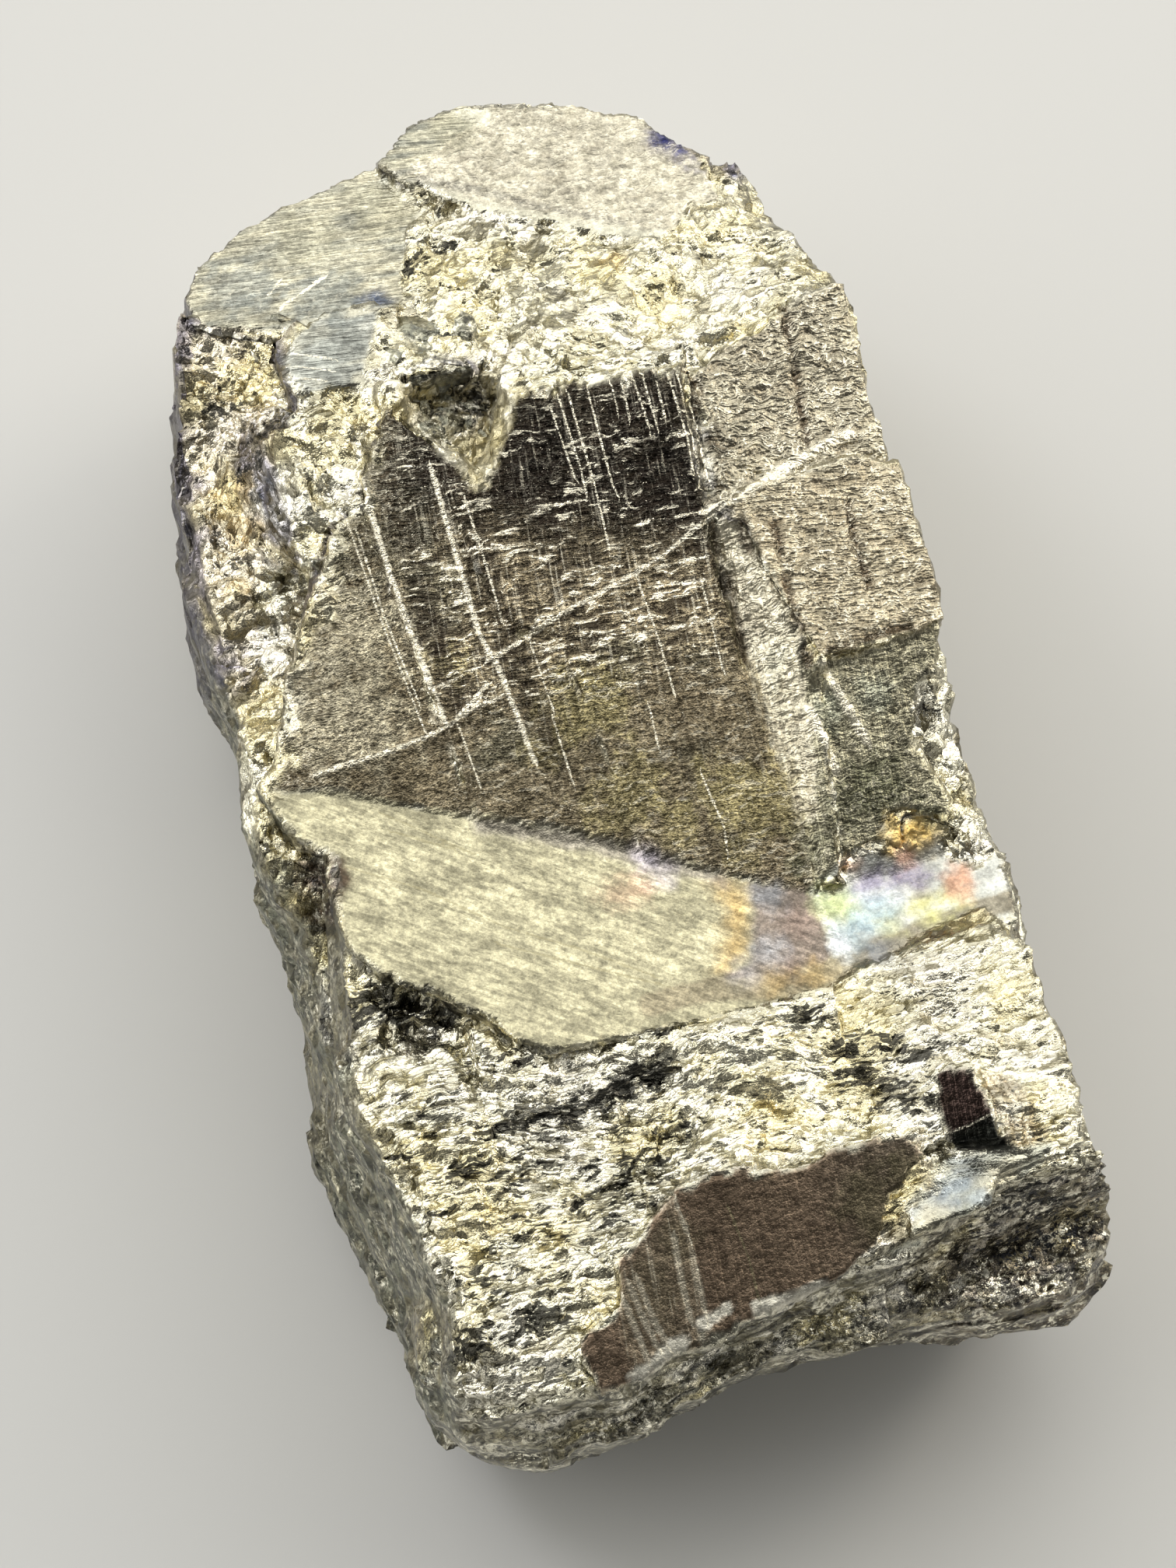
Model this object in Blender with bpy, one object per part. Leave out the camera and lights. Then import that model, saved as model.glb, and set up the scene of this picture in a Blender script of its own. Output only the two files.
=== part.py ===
"""Pyrite cluster: blocky crystals grown together and broken in places, lying on a flat crystal face.

+X runs across the piece, +Y along it to the domed end, +Z up from the face it lies on.
All sizes are millimetres until a mesh is made. A surface is a plane, given as the height over one
point and the rise per millimetre to +X (east) and +Y (north).
"""
from math import radians

import bmesh
import bpy
from mathutils import Euler, Matrix, Vector

MM = 0.001

# Pyrite, as one polished-metal grade for the whole piece.
PYRITE_COLOUR = (0.56, 0.49, 0.33, 1.0)
PYRITE_ROUGHNESS = 0.38

# Texture of a broken surface: facet edge, then broad swells and small chips pushed in and out.
GRAIN = 1.25
SWELL_SIZE, SWELL_HEIGHT = 5.5, 0.9
CHIP_SIZE, CHIP_HEIGHT = 1.9, 0.8

# Crystal faces of the front, from the lower end to the dome.
BROWN_FACE = dict(at=(1, -21), height=17.75, east=0.0, north=0.06)
CORNER_FACE = dict(at=(11, -20.9), height=17.0, east=-0.3, north=2.1)
CORNER_TOP = dict(at=(11, -20.9), height=17.2, east=0.0, north=0.1)
CHIPPED_FACE = dict(at=(9.3, -17.6), height=18.0, east=0.25, north=0.10)
PALE_FACE = dict(at=(8.3, -20.6), height=17.5, east=-0.05, north=-0.30)
LEDGE_FACE = dict(at=(-14, 0), height=15.5, east=-0.155, north=-0.42)
TARNISHED_FACE = dict(at=(6, -8), height=15.5, east=0.0, north=-0.42)
MAIN_FACE = dict(at=(0, 0), height=15.6, east=0.05, north=0.10)
MIDDLE_TERRACE = dict(at=(0, 0), height=15.85, east=0.05, north=0.10)
UPPER_TERRACE = dict(at=(0, 0), height=16.05, east=0.05, north=0.10)
GREEN_FACE = dict(at=(9, -3), height=16.0, east=0.04, north=0.12)
FLANK_FACE = dict(at=(6.5, 4), height=16.4, east=0.22, north=0.05)
RAISED_FACE = dict(at=(10, 5), height=17.3, east=-0.06, north=0.04)
UPPER_RIGHT_FACE = dict(at=(9, 12), height=16.9, east=-0.10, north=0.06)
GREY_FACE = dict(at=(-7, 17.5), height=15.9, east=0.02, north=-0.22)
BAND_FACE = dict(at=(-9, 21), height=14.2, east=0.06, north=-0.45)
DOME_FACE = dict(at=(3, 24.5), height=13.4, east=-0.06, north=-0.40)
DOME_RIM_FACE = dict(at=(5, 29), height=11.4, east=-0.25, north=-1.6)

# The lower block's left flank is two steep faces that meet at y = -13.
FLANK_TOP = dict(at=(-12, -10), height=17.3, east=-0.05, north=0.02)
FLANK_HEAD = dict(at=(-14, 0), height=15.3, east=-0.2, north=-0.45)
FLANK_ABOVE = dict(at=(-12.55, -7.5), height=17.0, east=12.0, north=-1.3)
FLANK_BELOW = dict(at=(-12.1, -17.0), height=17.0, east=12.0, north=2.3)

# Broken surfaces: mean planes before they are roughened.
BROKEN_FRONT = dict(at=(0, -12), height=18.0, east=0.0, north=0.05)
BROKEN_BAND = dict(at=(2, 18), height=15.8, east=-0.01, north=-0.34)
BROKEN_COLUMN = dict(at=(-12, 12), height=12.9, east=0.30, north=0.05)
BROKEN_SPUR = dict(at=(-8, 13), height=16.4, east=0.10, north=0.03)
BROKEN_MARGIN = dict(at=(11, 22), height=13.7, east=-0.15, north=-0.45)
BROKEN_SHOULDER = dict(at=(-13, 0), height=14.5, east=0.05, north=0.0)
BROKEN_EDGE = dict(at=(13, -4), height=15.6, east=-0.15, north=0.08)

# The broken mass that everything grows from: its outline, and how far each height reaches towards it.
CORE_OUTLINE = [
    (-11.2, 24.6), (-12.4, 22.6), (-13.5, 19.2), (-14.2, 14.5), (-14.8, 11.5), (-14.7, 7.4), (-13.9, 5.4),
    (-13.3, 2.6), (-13.7, -1.7), (-13.7, -7.8), (-13.3, -12), (-13.0, -16), (-12.3, -19), (-12.8, -23.4),
    (-11.8, -25.4), (-8.8, -26.8), (-5.4, -26.6), (-1.3, -25.3), (2.7, -25), (6.5, -25), (10.5, -25.6),
    (14.0, -25.4), (15.9, -23.8), (15.4, -19), (14.6, -14), (14.5, -8), (13.9, -3.5), (14.3, 1), (14.3, 8),
    (13.8, 10), (14.0, 17.4), (12.8, 20.2), (12.4, 23.6), (9.6, 26.8), (6.2, 28.8), (2.6, 29.9),
    (-1.3, 29.0), (-3.4, 27.6), (-8, 26.2),
]
CORE_MIDDLE = (0.3, 2.2)
CORE_RINGS = [(1.0, 0.91), (2.8, 0.965), (6.0, 0.99), (10.0, 1.0), (12.8, 0.985)]
DOME_START, DOME_FALL = 20.0, 0.3  # the core's top falls away under the dome from this y

BACK_OUTLINE = [(-11, -19), (-4, -22), (8.5, -20.5), (12, -13), (12.4, 14), (8, 23), (-1, 25), (-8, 21), (-11.6, 8)]
BACK_FACE = dict(at=(0, 0), height=6.0, east=0.0, north=0.0)


def height_over(plane, x, y):
    return plane["height"] + plane["east"] * (x - plane["at"][0]) + plane["north"] * (y - plane["at"][1])


def prism(outline, floor, top, *cuts):
    """Upright walls over an outline, from the floor to the top plane, and nothing above the cutting planes."""
    mesh = bmesh.new()
    lower = [mesh.verts.new(Vector((x, y, floor)) * MM) for x, y in outline]
    upper = [mesh.verts.new(Vector((x, y, height_over(top, x, y))) * MM) for x, y in outline]
    mesh.faces.new(upper)
    mesh.faces.new(lower[::-1])
    for i, j in zip(range(len(outline)), [*range(1, len(outline)), 0]):
        mesh.faces.new((lower[i], lower[j], upper[j], upper[i]))
    for cut in cuts:
        slice_off(mesh, cut)
    bmesh.ops.recalc_face_normals(mesh, faces=mesh.faces)
    return mesh


def slice_off(mesh, plane):
    """Removes what lies above a plane and closes the section."""
    cut = bmesh.ops.bisect_plane(
        mesh,
        geom=[*mesh.verts, *mesh.edges, *mesh.faces],
        dist=1e-7,
        plane_co=Vector((*plane["at"], plane["height"])) * MM,
        plane_no=Vector((-plane["east"], -plane["north"], 1)).normalized(),
        clear_outer=True,
    )
    edges = [item for item in cut["geom_cut"] if isinstance(item, bmesh.types.BMEdge)]
    bmesh.ops.edgeloop_fill(mesh, edges=edges)


def rings_joined(rings):
    """Closed mesh through rings of points, listed from the lowest up."""
    mesh = bmesh.new()
    loops = [[mesh.verts.new(Vector(point) * MM) for point in ring] for ring in rings]
    for low, high in zip(loops, loops[1:]):
        for i, j in zip(range(len(low)), [*range(1, len(low)), 0]):
            mesh.faces.new((low[i], low[j], high[j], high[i]))
    mesh.faces.new(loops[0][::-1])
    mesh.faces.new(loops[-1])
    bmesh.ops.recalc_face_normals(mesh, faces=mesh.faces)
    return mesh


def scaled(outline, middle, factor):
    return [(middle[0] + (x - middle[0]) * factor, middle[1] + (y - middle[1]) * factor) for x, y in outline]


def block(middle, size, turn):
    """Box-shaped crystal, turned about X, Y and Z by the given degrees."""
    mesh = bmesh.new()
    bmesh.ops.create_cube(mesh, size=MM)
    place = Matrix.Translation(Vector(middle) * MM) @ Euler([radians(angle) for angle in turn]).to_matrix().to_4x4()
    bmesh.ops.transform(mesh, matrix=place @ Matrix.Diagonal((*size, 1)), verts=mesh.verts)
    return mesh


def core():
    rings = []
    for height, reach in CORE_RINGS:
        ring = scaled(CORE_OUTLINE, CORE_MIDDLE, reach)
        top = CORE_RINGS[-1][0]
        rings.append([(x, y, min(height, top - DOME_FALL * max(0.0, y - DOME_START))) for x, y in ring])
    return rings_joined(rings)


def hollow(outline, plane, depth):
    """Cutter for a pit: the outline on the surface, widening above it and closing in to the given depth."""
    middle = (sum(x for x, y in outline) / len(outline), sum(y for x, y in outline) / len(outline))
    rings = []
    for factor, rise in ((0.35, -depth), (1.0, 0.0), (1.5, 1.5)):
        ring = scaled(outline, middle, factor)
        rings.append([(x, y, height_over(plane, x, y) + rise) for x, y in ring])
    return rings_joined(rings)


def add_object(name, meshes):
    """One object from one or more closed meshes."""
    data = bpy.data.meshes.new(name)
    whole = bmesh.new()
    for mesh in meshes:
        mesh.to_mesh(data)
        mesh.free()
        whole.from_mesh(data)
    whole.to_mesh(data)
    whole.free()
    return bpy.data.objects.new(name, data)


def helpers(name, meshes):
    """Collection of hidden objects that a Boolean reads."""
    group = bpy.data.collections.new(name)
    group.hide_render = True
    bpy.context.scene.collection.children.link(group)
    for part, mesh in meshes.items():
        helper = add_object(part, [mesh])
        helper.hide_render = True
        helper.display_type = "WIRE"
        group.objects.link(helper)
    return group


def combine(body, name, operation, group):
    step = body.modifiers.new(name, "BOOLEAN")
    step.operation = operation
    step.operand_type = "COLLECTION"
    step.collection = group
    step.solver = "EXACT"
    step.use_self = operation == "UNION"


def roughen(body):
    """Gives a mass an even skin of facets, and pushes them in and out as swells and chips."""
    skin = body.modifiers.new("facets", "REMESH")
    skin.mode = "VOXEL"
    skin.voxel_size = GRAIN * MM
    for name, size, height in (("swells", SWELL_SIZE, SWELL_HEIGHT), ("chips", CHIP_SIZE, CHIP_HEIGHT)):
        pattern = bpy.data.textures.new(name, "CLOUDS")
        pattern.noise_scale = size * MM
        pattern.noise_depth = 1
        push = body.modifiers.new(name, "DISPLACE")
        push.texture = pattern
        push.texture_coords = "LOCAL"
        push.strength = height * MM
        push.mid_level = 0.5


def pyrite():
    material = bpy.data.materials.new("pyrite")
    material.use_nodes = True
    shader = material.node_tree.nodes["Principled BSDF"]
    shader.inputs["Base Color"].default_value = PYRITE_COLOUR
    shader.inputs["Metallic"].default_value = 1.0
    shader.inputs["Roughness"].default_value = PYRITE_ROUGHNESS
    return material


for thing in list(bpy.data.objects):
    bpy.data.objects.remove(thing)

# The broken mass: the core, and the broken parts of the front that stand on it.
BROKEN = [
    core(),
    prism([
        (-12.3, -7.8), (-11.1, -8.6), (-9.1, -9.8), (-7.2, -11.5), (-5.3, -12.1), (-1.1, -11.7), (3.2, -11.9),
        (7, -11.2), (9.8, -10.3), (13.4, -10.2), (14, -12.1), (14.3, -16.1), (14.1, -20), (13, -20.8),
        (10.9, -20.8), (9.4, -21.6), (7.5, -22.4), (3.9, -23.2), (-0.5, -23.9), (-3.5, -24.5), (-6.8, -25.2),
        (-12.1, -24.7), (-11.3, -20.9), (-11.8, -16.9), (-12.7, -15.3), (-13, -13.1), (-13.1, -10.5),
    ], 8, BROKEN_FRONT),
    prism([
        (-4.9, 17.3), (-1.9, 16.6), (-0.9, 14.1), (1.1, 13.4), (3.9, 13.3), (6.3, 12.9), (7.1, 13.4),
        (8.2, 14.2), (10.2, 14.7), (11.4, 15.9), (14, 16.7), (13.9, 17.9), (12.9, 19.4), (12.1, 20.9),
        (9.5, 21.1), (7.2, 21.5), (5.2, 22.2), (3.6, 23.1), (0.9, 24.4), (-1, 25.6), (-2, 26.2), (-2.5, 23.8),
        (-3.6, 22.6), (-4.2, 20.8),
    ], 8, BROKEN_BAND),
    prism([
        (-13.3, 20.4), (-9.2, 20.6), (-9.2, 12), (-10, 8), (-12.5, 2.2), (-13.6, 4), (-14.4, 7), (-14.8, 10),
        (-14.5, 14),
    ], 6, BROKEN_COLUMN),
    prism([
        (-9.5, 17.2), (-10, 15.5), (-11.3, 13.8), (-11.4, 12.8), (-10.7, 12), (-11.3, 10.5), (-9.2, 10),
        (-7.9, 11.7), (-6.1, 14.3), (-5.2, 15.3), (-5, 17.4), (-6.2, 16.3), (-9.2, 16.4),
    ], 8, BROKEN_SPUR),
    prism([(8, 22), (12.5, 20.5), (12.5, 23.6), (9.8, 26.6), (8, 25)], 7, BROKEN_MARGIN),
    prism([
        (11, 3), (14.6, 3), (14.2, -1.5), (13.8, -4), (14.3, -6.5), (14.6, -11), (12.6, -11), (12, -5),
    ], 7, BROKEN_EDGE),
    prism([(-14.4, -3), (-14.5, 3), (-13.8, 4.5), (-11, 3), (-11, -3)], 7, BROKEN_SHOULDER),
]

# Flat-faced crystals. Outlines run under their neighbours wherever those stand higher.
CRYSTALS = {
    "back": prism(BACK_OUTLINE, 0, BACK_FACE),
    "main": prism([
        (-14, 0.8), (-13.1, 2.1), (-11.3, 6.6), (-9, 10.3), (-7.9, 11.8), (-6.2, 14.3), (-6, 16), (6.5, 14.8),
        (6.6, 12.9), (6.1, 8.6), (5.9, 4.7), (6.4, 1.3), (6.8, -1), (7.2, -8.6), (-12.8, -2.4),
    ], 8, MAIN_FACE),
    "middle_terrace": prism([
        (-7.6, 11.9), (-7.4, 9), (-6.8, 5.8), (-6.4, 1.5), (-6, -1), (-5.6, -5), (7.1, -9.5), (6.3, -1),
        (5.9, 3), (5.8, 8), (6.3, 14.2), (-5.6, 15.4),
    ], 9, MIDDLE_TERRACE),
    "upper_terrace": prism([
        (-3.8, 8.2), (-3.3, 6), (-2.6, 4.6), (-1.4, 4.9), (-0.8, 2), (-0.3, -1.5), (0.4, -7), (6.9, -9.3),
        (6.0, -1), (5.7, 3), (5.6, 8), (6.1, 14), (-3.2, 14.6), (-4.3, 11),
    ], 9, UPPER_TERRACE),
    "ledge": prism([
        (-14.1, 1.3), (-13.1, -1.5), (-11.7, -2.6), (-12.2, -5.5), (-12.3, -6.7), (-11.1, -8.1), (-9.1, -9.5),
        (-7.7, -10.7), (-7.1, -11.7), (-5.5, -12.6), (1.1, -12.3), (5.2, -12), (7.1, -11.9), (7.2, -6.8),
        (0.5, -3.7), (-5.6, -1), (-10.7, 1.1),
    ], 6, LEDGE_FACE),
    "tarnished": prism([
        (6.0, -7.0), (9.8, -6), (10.8, -4.3), (13.4, -4.9), (14.1, -7.7), (13.9, -10.9), (6.1, -12.3),
    ], 6, TARNISHED_FACE),
    "left_flank": prism([
        (-14.2, -2), (-14.4, -13), (-14, -17), (-13, -25), (-10.5, -24.4), (-10, -18), (-11, -10), (-11, -3),
    ], 3, FLANK_TOP, FLANK_HEAD, FLANK_ABOVE, FLANK_BELOW),
    "lower_right_corner": prism([
        (7, -19.5), (13.8, -19.5), (15.2, -21.4), (15.7, -24), (14.2, -25.6), (10.6, -25.6), (7.2, -24.6),
    ], 6, CORNER_FACE, CORNER_TOP),
    "brown": prism([
        (-2.1, -18.1), (0.5, -18.1), (3, -18.4), (4.4, -18), (6.7, -18.2), (7.6, -19), (5.8, -20.4),
        (4.9, -21.9), (3.3, -22.9), (2.1, -23.2), (-0.3, -23.7), (-2.3, -24.4), (-3.4, -24.3), (-5, -25),
        (-6.8, -25.1), (-7.2, -23.1), (-5.3, -22), (-4.9, -20.3), (-2.8, -18.8),
    ], 9, BROWN_FACE),
    "chipped": prism([(8.4, -16.2), (10.2, -15.9), (10.4, -19.2), (8.3, -18.9)], 9, CHIPPED_FACE),
    "pale": prism([(6.6, -19.8), (10.8, -19.2), (9.5, -21.5), (6.1, -22.1)], 9, PALE_FACE),
    "green": prism([
        (6.7, 2.1), (14.2, 2.1), (13.3, 0.1), (12.4, -0.8), (11.8, -2.8), (12.6, -5.2), (12.3, -6),
        (10.3, -5.3), (10.3, -6.7), (9.5, -6.3), (8.3, -6.5), (7.8, -7.3), (6.4, -7.1), (6.2, -4.3),
    ], 8, GREEN_FACE),
    "flank": prism([
        (5.9, 8.1), (6.7, 8.6), (7.5, 7.5), (8.5, 4.2), (8.9, 1.1), (8.2, -2), (7.6, -7.6), (6.5, -7.6),
        (6.3, -1), (6.2, 1.3), (5.8, 4.8),
    ], 8, FLANK_FACE),
    "raised": prism([
        (6.3, 7.9), (7.5, 8.7), (9.9, 8.8), (11.9, 9.2), (14, 8.4), (14.2, 4), (14.1, 1.7), (11.6, 1.3),
        (8.5, 1.1), (7.8, 4), (7, 7.1),
    ], 8, RAISED_FACE),
    "upper_right": prism([
        (6.4, 13.6), (8.2, 14.8), (10.2, 15.3), (11.4, 16.2), (13.9, 16.9), (13.7, 11.5), (13.9, 9), (11.7, 8.8),
        (8.8, 8.2), (6.1, 8.1), (6.4, 9.6), (6.8, 12.4),
    ], 8, UPPER_RIGHT_FACE),
    "grey": prism([
        (-9.3, 19), (-6.9, 20.1), (-4.1, 19.9), (-4.8, 17.4), (-6.2, 16.3), (-9.3, 16.4),
    ], 8, GREY_FACE),
    "band": prism([
        (-12.4, 20.9), (-12.3, 22.7), (-11.5, 24.1), (-9.5, 25.5), (-7.8, 26.3), (-4.2, 27.3), (-2.6, 27.7),
        (-1.8, 24.1), (-2.9, 22.9), (-3.6, 21), (-3.9, 19.7), (-6.8, 19.7), (-9.5, 19.8),
    ], 9, BAND_FACE),
    "dome": prism([
        (-2.2, 26), (-3.1, 27.4), (-1.4, 29), (1, 29.9), (2.7, 30), (4.8, 29.6), (6.4, 28.5), (8.4, 27.6),
        (9.4, 26.2), (10.2, 25), (10.6, 22), (9.6, 20.6), (7.2, 20.8), (5.2, 21.4), (3.6, 22.4), (0.9, 23.6),
        (-1, 24.8),
    ], 8, DOME_FACE, DOME_RIM_FACE),
    "right_block": block((10.9, 9, 7.5), (7, 10, 8), (8, -6, 12)),
    "right_block_below": block((11.2, -12.5, 6.8), (7, 9, 8.5), (-5, 10, -9)),
    "right_knob": block((12.2, -1.5, 6), (4, 5, 4.5), (20, 15, 30)),
    "end_block": block((2, 24.4, 5.2), (10, 6, 6), (-24, 5, 12)),
    "end_knob": block((-7.6, 22.8, 6), (6, 5, 5), (12, -20, 30)),
    "left_block": block((-10.1, 11, 5.2), (6, 9, 6), (5, -14, 7)),
    "foot_block": block((-4, -21.3, 5), (9, 5, 5.5), (14, 6, -8)),
}

HOLLOWS = {
    "notch": hollow([
        (-5.2, 16), (-3, 16.4), (-0.9, 15), (-1, 14.1), (-1.6, 12.8), (-2.8, 11), (-3.5, 12.2), (-4.9, 13.6),
        (-5.6, 14.6),
    ], MIDDLE_TERRACE, 2.2),
    "pocket": hollow([
        (-11.9, -8.8), (-10.8, -9), (-8.8, -10.3), (-8.3, -11.2), (-10.5, -11.3), (-12.1, -10.4),
    ], BROKEN_FRONT, 1.2),
    "crevice": hollow([
        (-8.9, -14.5), (-5.5, -14.7), (-1.4, -13.8), (-0.4, -14.5), (-3.7, -15), (-6, -15.4),
    ], BROKEN_FRONT, 1.0),
}

cluster = add_object("pyrite_cluster", BROKEN)
cluster.data.materials.append(pyrite())
bpy.context.scene.collection.objects.link(cluster)
roughen(cluster)
combine(cluster, "grown_together", "UNION", helpers("crystals", CRYSTALS))
combine(cluster, "hollows", "DIFFERENCE", helpers("hollow_cutters", HOLLOWS))
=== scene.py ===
from math import radians

import bpy
import numpy as np
from mathutils import Matrix, Vector, noise
from mathutils.bvhtree import BVHTree


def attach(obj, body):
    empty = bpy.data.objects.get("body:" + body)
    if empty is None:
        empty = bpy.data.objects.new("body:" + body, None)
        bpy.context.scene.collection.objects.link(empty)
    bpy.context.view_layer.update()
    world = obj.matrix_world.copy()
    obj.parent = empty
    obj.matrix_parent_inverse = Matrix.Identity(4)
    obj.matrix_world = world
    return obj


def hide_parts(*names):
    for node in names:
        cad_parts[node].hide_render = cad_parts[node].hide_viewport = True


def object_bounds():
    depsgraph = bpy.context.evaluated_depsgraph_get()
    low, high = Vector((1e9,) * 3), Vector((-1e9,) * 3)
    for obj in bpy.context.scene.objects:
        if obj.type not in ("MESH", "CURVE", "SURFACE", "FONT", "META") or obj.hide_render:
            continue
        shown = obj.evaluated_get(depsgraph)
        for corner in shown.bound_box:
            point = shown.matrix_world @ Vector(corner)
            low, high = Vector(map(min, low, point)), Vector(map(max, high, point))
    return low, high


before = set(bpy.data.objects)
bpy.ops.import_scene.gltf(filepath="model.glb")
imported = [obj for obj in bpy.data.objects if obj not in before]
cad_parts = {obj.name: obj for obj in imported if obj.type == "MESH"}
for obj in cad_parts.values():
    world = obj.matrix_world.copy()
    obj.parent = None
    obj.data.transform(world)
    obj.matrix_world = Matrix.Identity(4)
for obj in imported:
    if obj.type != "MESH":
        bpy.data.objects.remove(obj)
cad_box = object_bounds()

# ---------------------------------------------------------------------------------------------------
# The table and the light. A pale matt board lies under the piece. The room is bright beyond the domed end
# and dark overhead, so what lies flat mirrors the dark and what leans towards that end shines. Two small
# soft lamps stand at the sides and a weak one near the worn end.
# ---------------------------------------------------------------------------------------------------
MM = 0.001


def linear(code):
    """sRGB hex colour as linear RGBA."""
    parts = [int(code[i:i + 2], 16) / 255 for i in (0, 2, 4)]
    return (*[c / 12.92 if c <= 0.04045 else ((c + 0.055) / 1.055) ** 2.4 for c in parts], 1.0)


def node(tree, kind, inputs=(), output=0, **settings):
    """Adds a shader node and gives one of its outputs.

    Its inputs are values or sockets to link, in order or by name. Its settings are given by their own names.
    """
    made = tree.nodes.new("ShaderNode" + kind)
    for name, value in settings.items():
        setattr(made, name, value)
    for name, value in inputs.items() if isinstance(inputs, dict) else enumerate(inputs):
        if isinstance(value, bpy.types.NodeSocket):
            tree.links.new(value, made.inputs[name])
        else:
            made.inputs[name].default_value = value
    return made.outputs[output]


bpy.ops.object.select_all(action="DESELECT")
bpy.ops.mesh.primitive_plane_add(size=3.0, location=(0, 0, 0))
table = bpy.context.active_object
table.name = "table"
board = bpy.data.materials.new("painted_board")
board.use_nodes = True
paint = board.node_tree.nodes["Principled BSDF"]
paint.inputs["Base Color"].default_value = linear("d4d3cf")
paint.inputs["Roughness"].default_value = 0.9
table.data.materials.append(board)

room = bpy.data.worlds.new("room")
room.use_nodes = True
sky = room.node_tree
around = node(sky, "TexCoord", output="Generated")
across, away, upward = node(sky, "SeparateXYZ", {"Vector": around}).node.outputs
aside = node(sky, "Math", [across], operation="ABSOLUTE")
reach = node(sky, "Math", [aside, 0.45, away], operation="MULTIPLY_ADD")
window = node(sky, "MapRange", [reach, 0.18, 0.62, 0.12, 2.3], interpolation_type="SMOOTHSTEP")
walls = node(sky, "MapRange", [upward, 0.75, 0.15, 0.0, 0.55], interpolation_type="SMOOTHSTEP")
glow = node(sky, "Math", [window, walls], operation="MAXIMUM")
sky.links.new(glow, sky.nodes["Background"].inputs["Strength"])
sky.nodes["Background"].inputs["Color"].default_value = linear("fbfbf8")
bpy.context.scene.world = room
bpy.context.scene.view_settings.view_transform = "Standard"

LAMPS = {
    "left_lamp": ((-0.24, 0.26, 0.24), (0.12, 0.12), 0.30, "f6f6ff"),
    "right_lamp": ((0.34, 0.16, 0.20), (0.12, 0.12), 0.30, "fff4e4"),
    "near_lamp": ((0.10, -0.42, 0.10), (0.06, 0.06), 0.06, "fffaf2"),
}
for name, (place, size, power, colour) in LAMPS.items():
    lamp = bpy.data.lights.new(name, "AREA")
    lamp.shape = "RECTANGLE"
    lamp.size, lamp.size_y = size
    lamp.energy = power
    lamp.color = linear(colour)[:3]
    stand = bpy.data.objects.new(name, lamp)
    stand.location = place
    stand.rotation_euler = (Vector((0, 0, 0.012)) - Vector(place)).to_track_quat("-Z", "Y").to_euler()
    bpy.context.scene.collection.objects.link(stand)

# The camera looks down at the front, from the left and a little below, held 14 degrees off square.
lens = bpy.data.cameras.new("camera")
lens.lens = 85
lens.sensor_width = 36
lens.clip_start = 0.01
camera = bpy.data.objects.new("camera", lens)
right, up, back = (0.96659559, -0.23485122, 0.10265414), (0.20023228, 0.94193678, 0.26955914), (-0.16, -0.24,
    0.95749)
camera.matrix_world = Matrix.Translation(Vector((-24.68, -36.65, 155.35))
    * MM) @ Matrix((right, up, back)).transposed().to_4x4()
bpy.context.scene.collection.objects.link(camera)
bpy.context.scene.camera = camera

# ---------------------------------------------------------------------------------------------------
# The lump of pyrite, iron sulphide grown as blocky crystals. Its flat faces carry growth lines half a
# millimetre and less apart. Where it broke there is no cleavage, so the breaks are rough and sparkle.
# ---------------------------------------------------------------------------------------------------
VOXEL = 0.36  # mm, the mesh of the hidden sides; the front is halved once more
MERGE = 1e-6  # m
FLAT_ENOUGH = radians(0.6)
FRONT_SLOPE = 0.36  # of a normal towards Z, above which a face belongs to the front
FRONT_FLOOR = 9.0
FACE_AREA = 3.0  # mm2; a facet of the solid as large as this is a crystal face
FACE_SLOPE = 0.55
rough_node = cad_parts["pyrite_cluster"]
bpy.ops.object.select_all(action="DESELECT")
lump = bpy.data.objects.new("pyrite_lump", rough_node.data.copy())
bpy.context.scene.collection.objects.link(lump)
bpy.context.view_layer.objects.active = lump
lump.select_set(True)
bpy.ops.object.mode_set(mode="EDIT")
bpy.ops.mesh.select_all(action="SELECT")
bpy.ops.mesh.remove_doubles(threshold=MERGE)
bpy.ops.mesh.dissolve_limited(angle_limit=FLAT_ENOUGH)
bpy.ops.object.mode_set(mode="OBJECT")

corners = [v.co / MM for v in lump.data.vertices]
facets = BVHTree.FromPolygons(corners, [p.vertices[:] for p in lump.data.polygons])
facet_area = np.array([p.area for p in lump.data.polygons]) / MM ** 2
facet_up = np.array([p.normal.z for p in lump.data.polygons])
plain = bpy.data.objects.new("plain_shape", lump.data.copy())
bpy.context.scene.collection.objects.link(plain)


def lay_on_shape():
    """Moves every point of the lump onto the plain shape."""
    wrap = lump.modifiers.new("wrap", "SHRINKWRAP")
    wrap.target = plain
    wrap.wrap_method = "NEAREST_SURFACEPOINT"
    bpy.ops.object.modifier_apply(modifier=wrap.name)


skin = lump.modifiers.new("skin", "REMESH")
skin.mode = "VOXEL"
skin.voxel_size = VOXEL * MM
bpy.ops.object.modifier_apply(modifier=skin.name)
lay_on_shape()
bpy.ops.object.mode_set(mode="EDIT")
bpy.ops.mesh.select_mode(type="FACE")
bpy.ops.mesh.select_all(action="DESELECT")
bpy.ops.object.mode_set(mode="OBJECT")
for face in lump.data.polygons:
    face.select = face.normal.z > FRONT_SLOPE and face.center.z > FRONT_FLOOR * MM
bpy.ops.object.mode_set(mode="EDIT")
bpy.ops.mesh.subdivide(number_cuts=1)
bpy.ops.object.mode_set(mode="OBJECT")
lay_on_shape()
bpy.data.objects.remove(plain)

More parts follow.
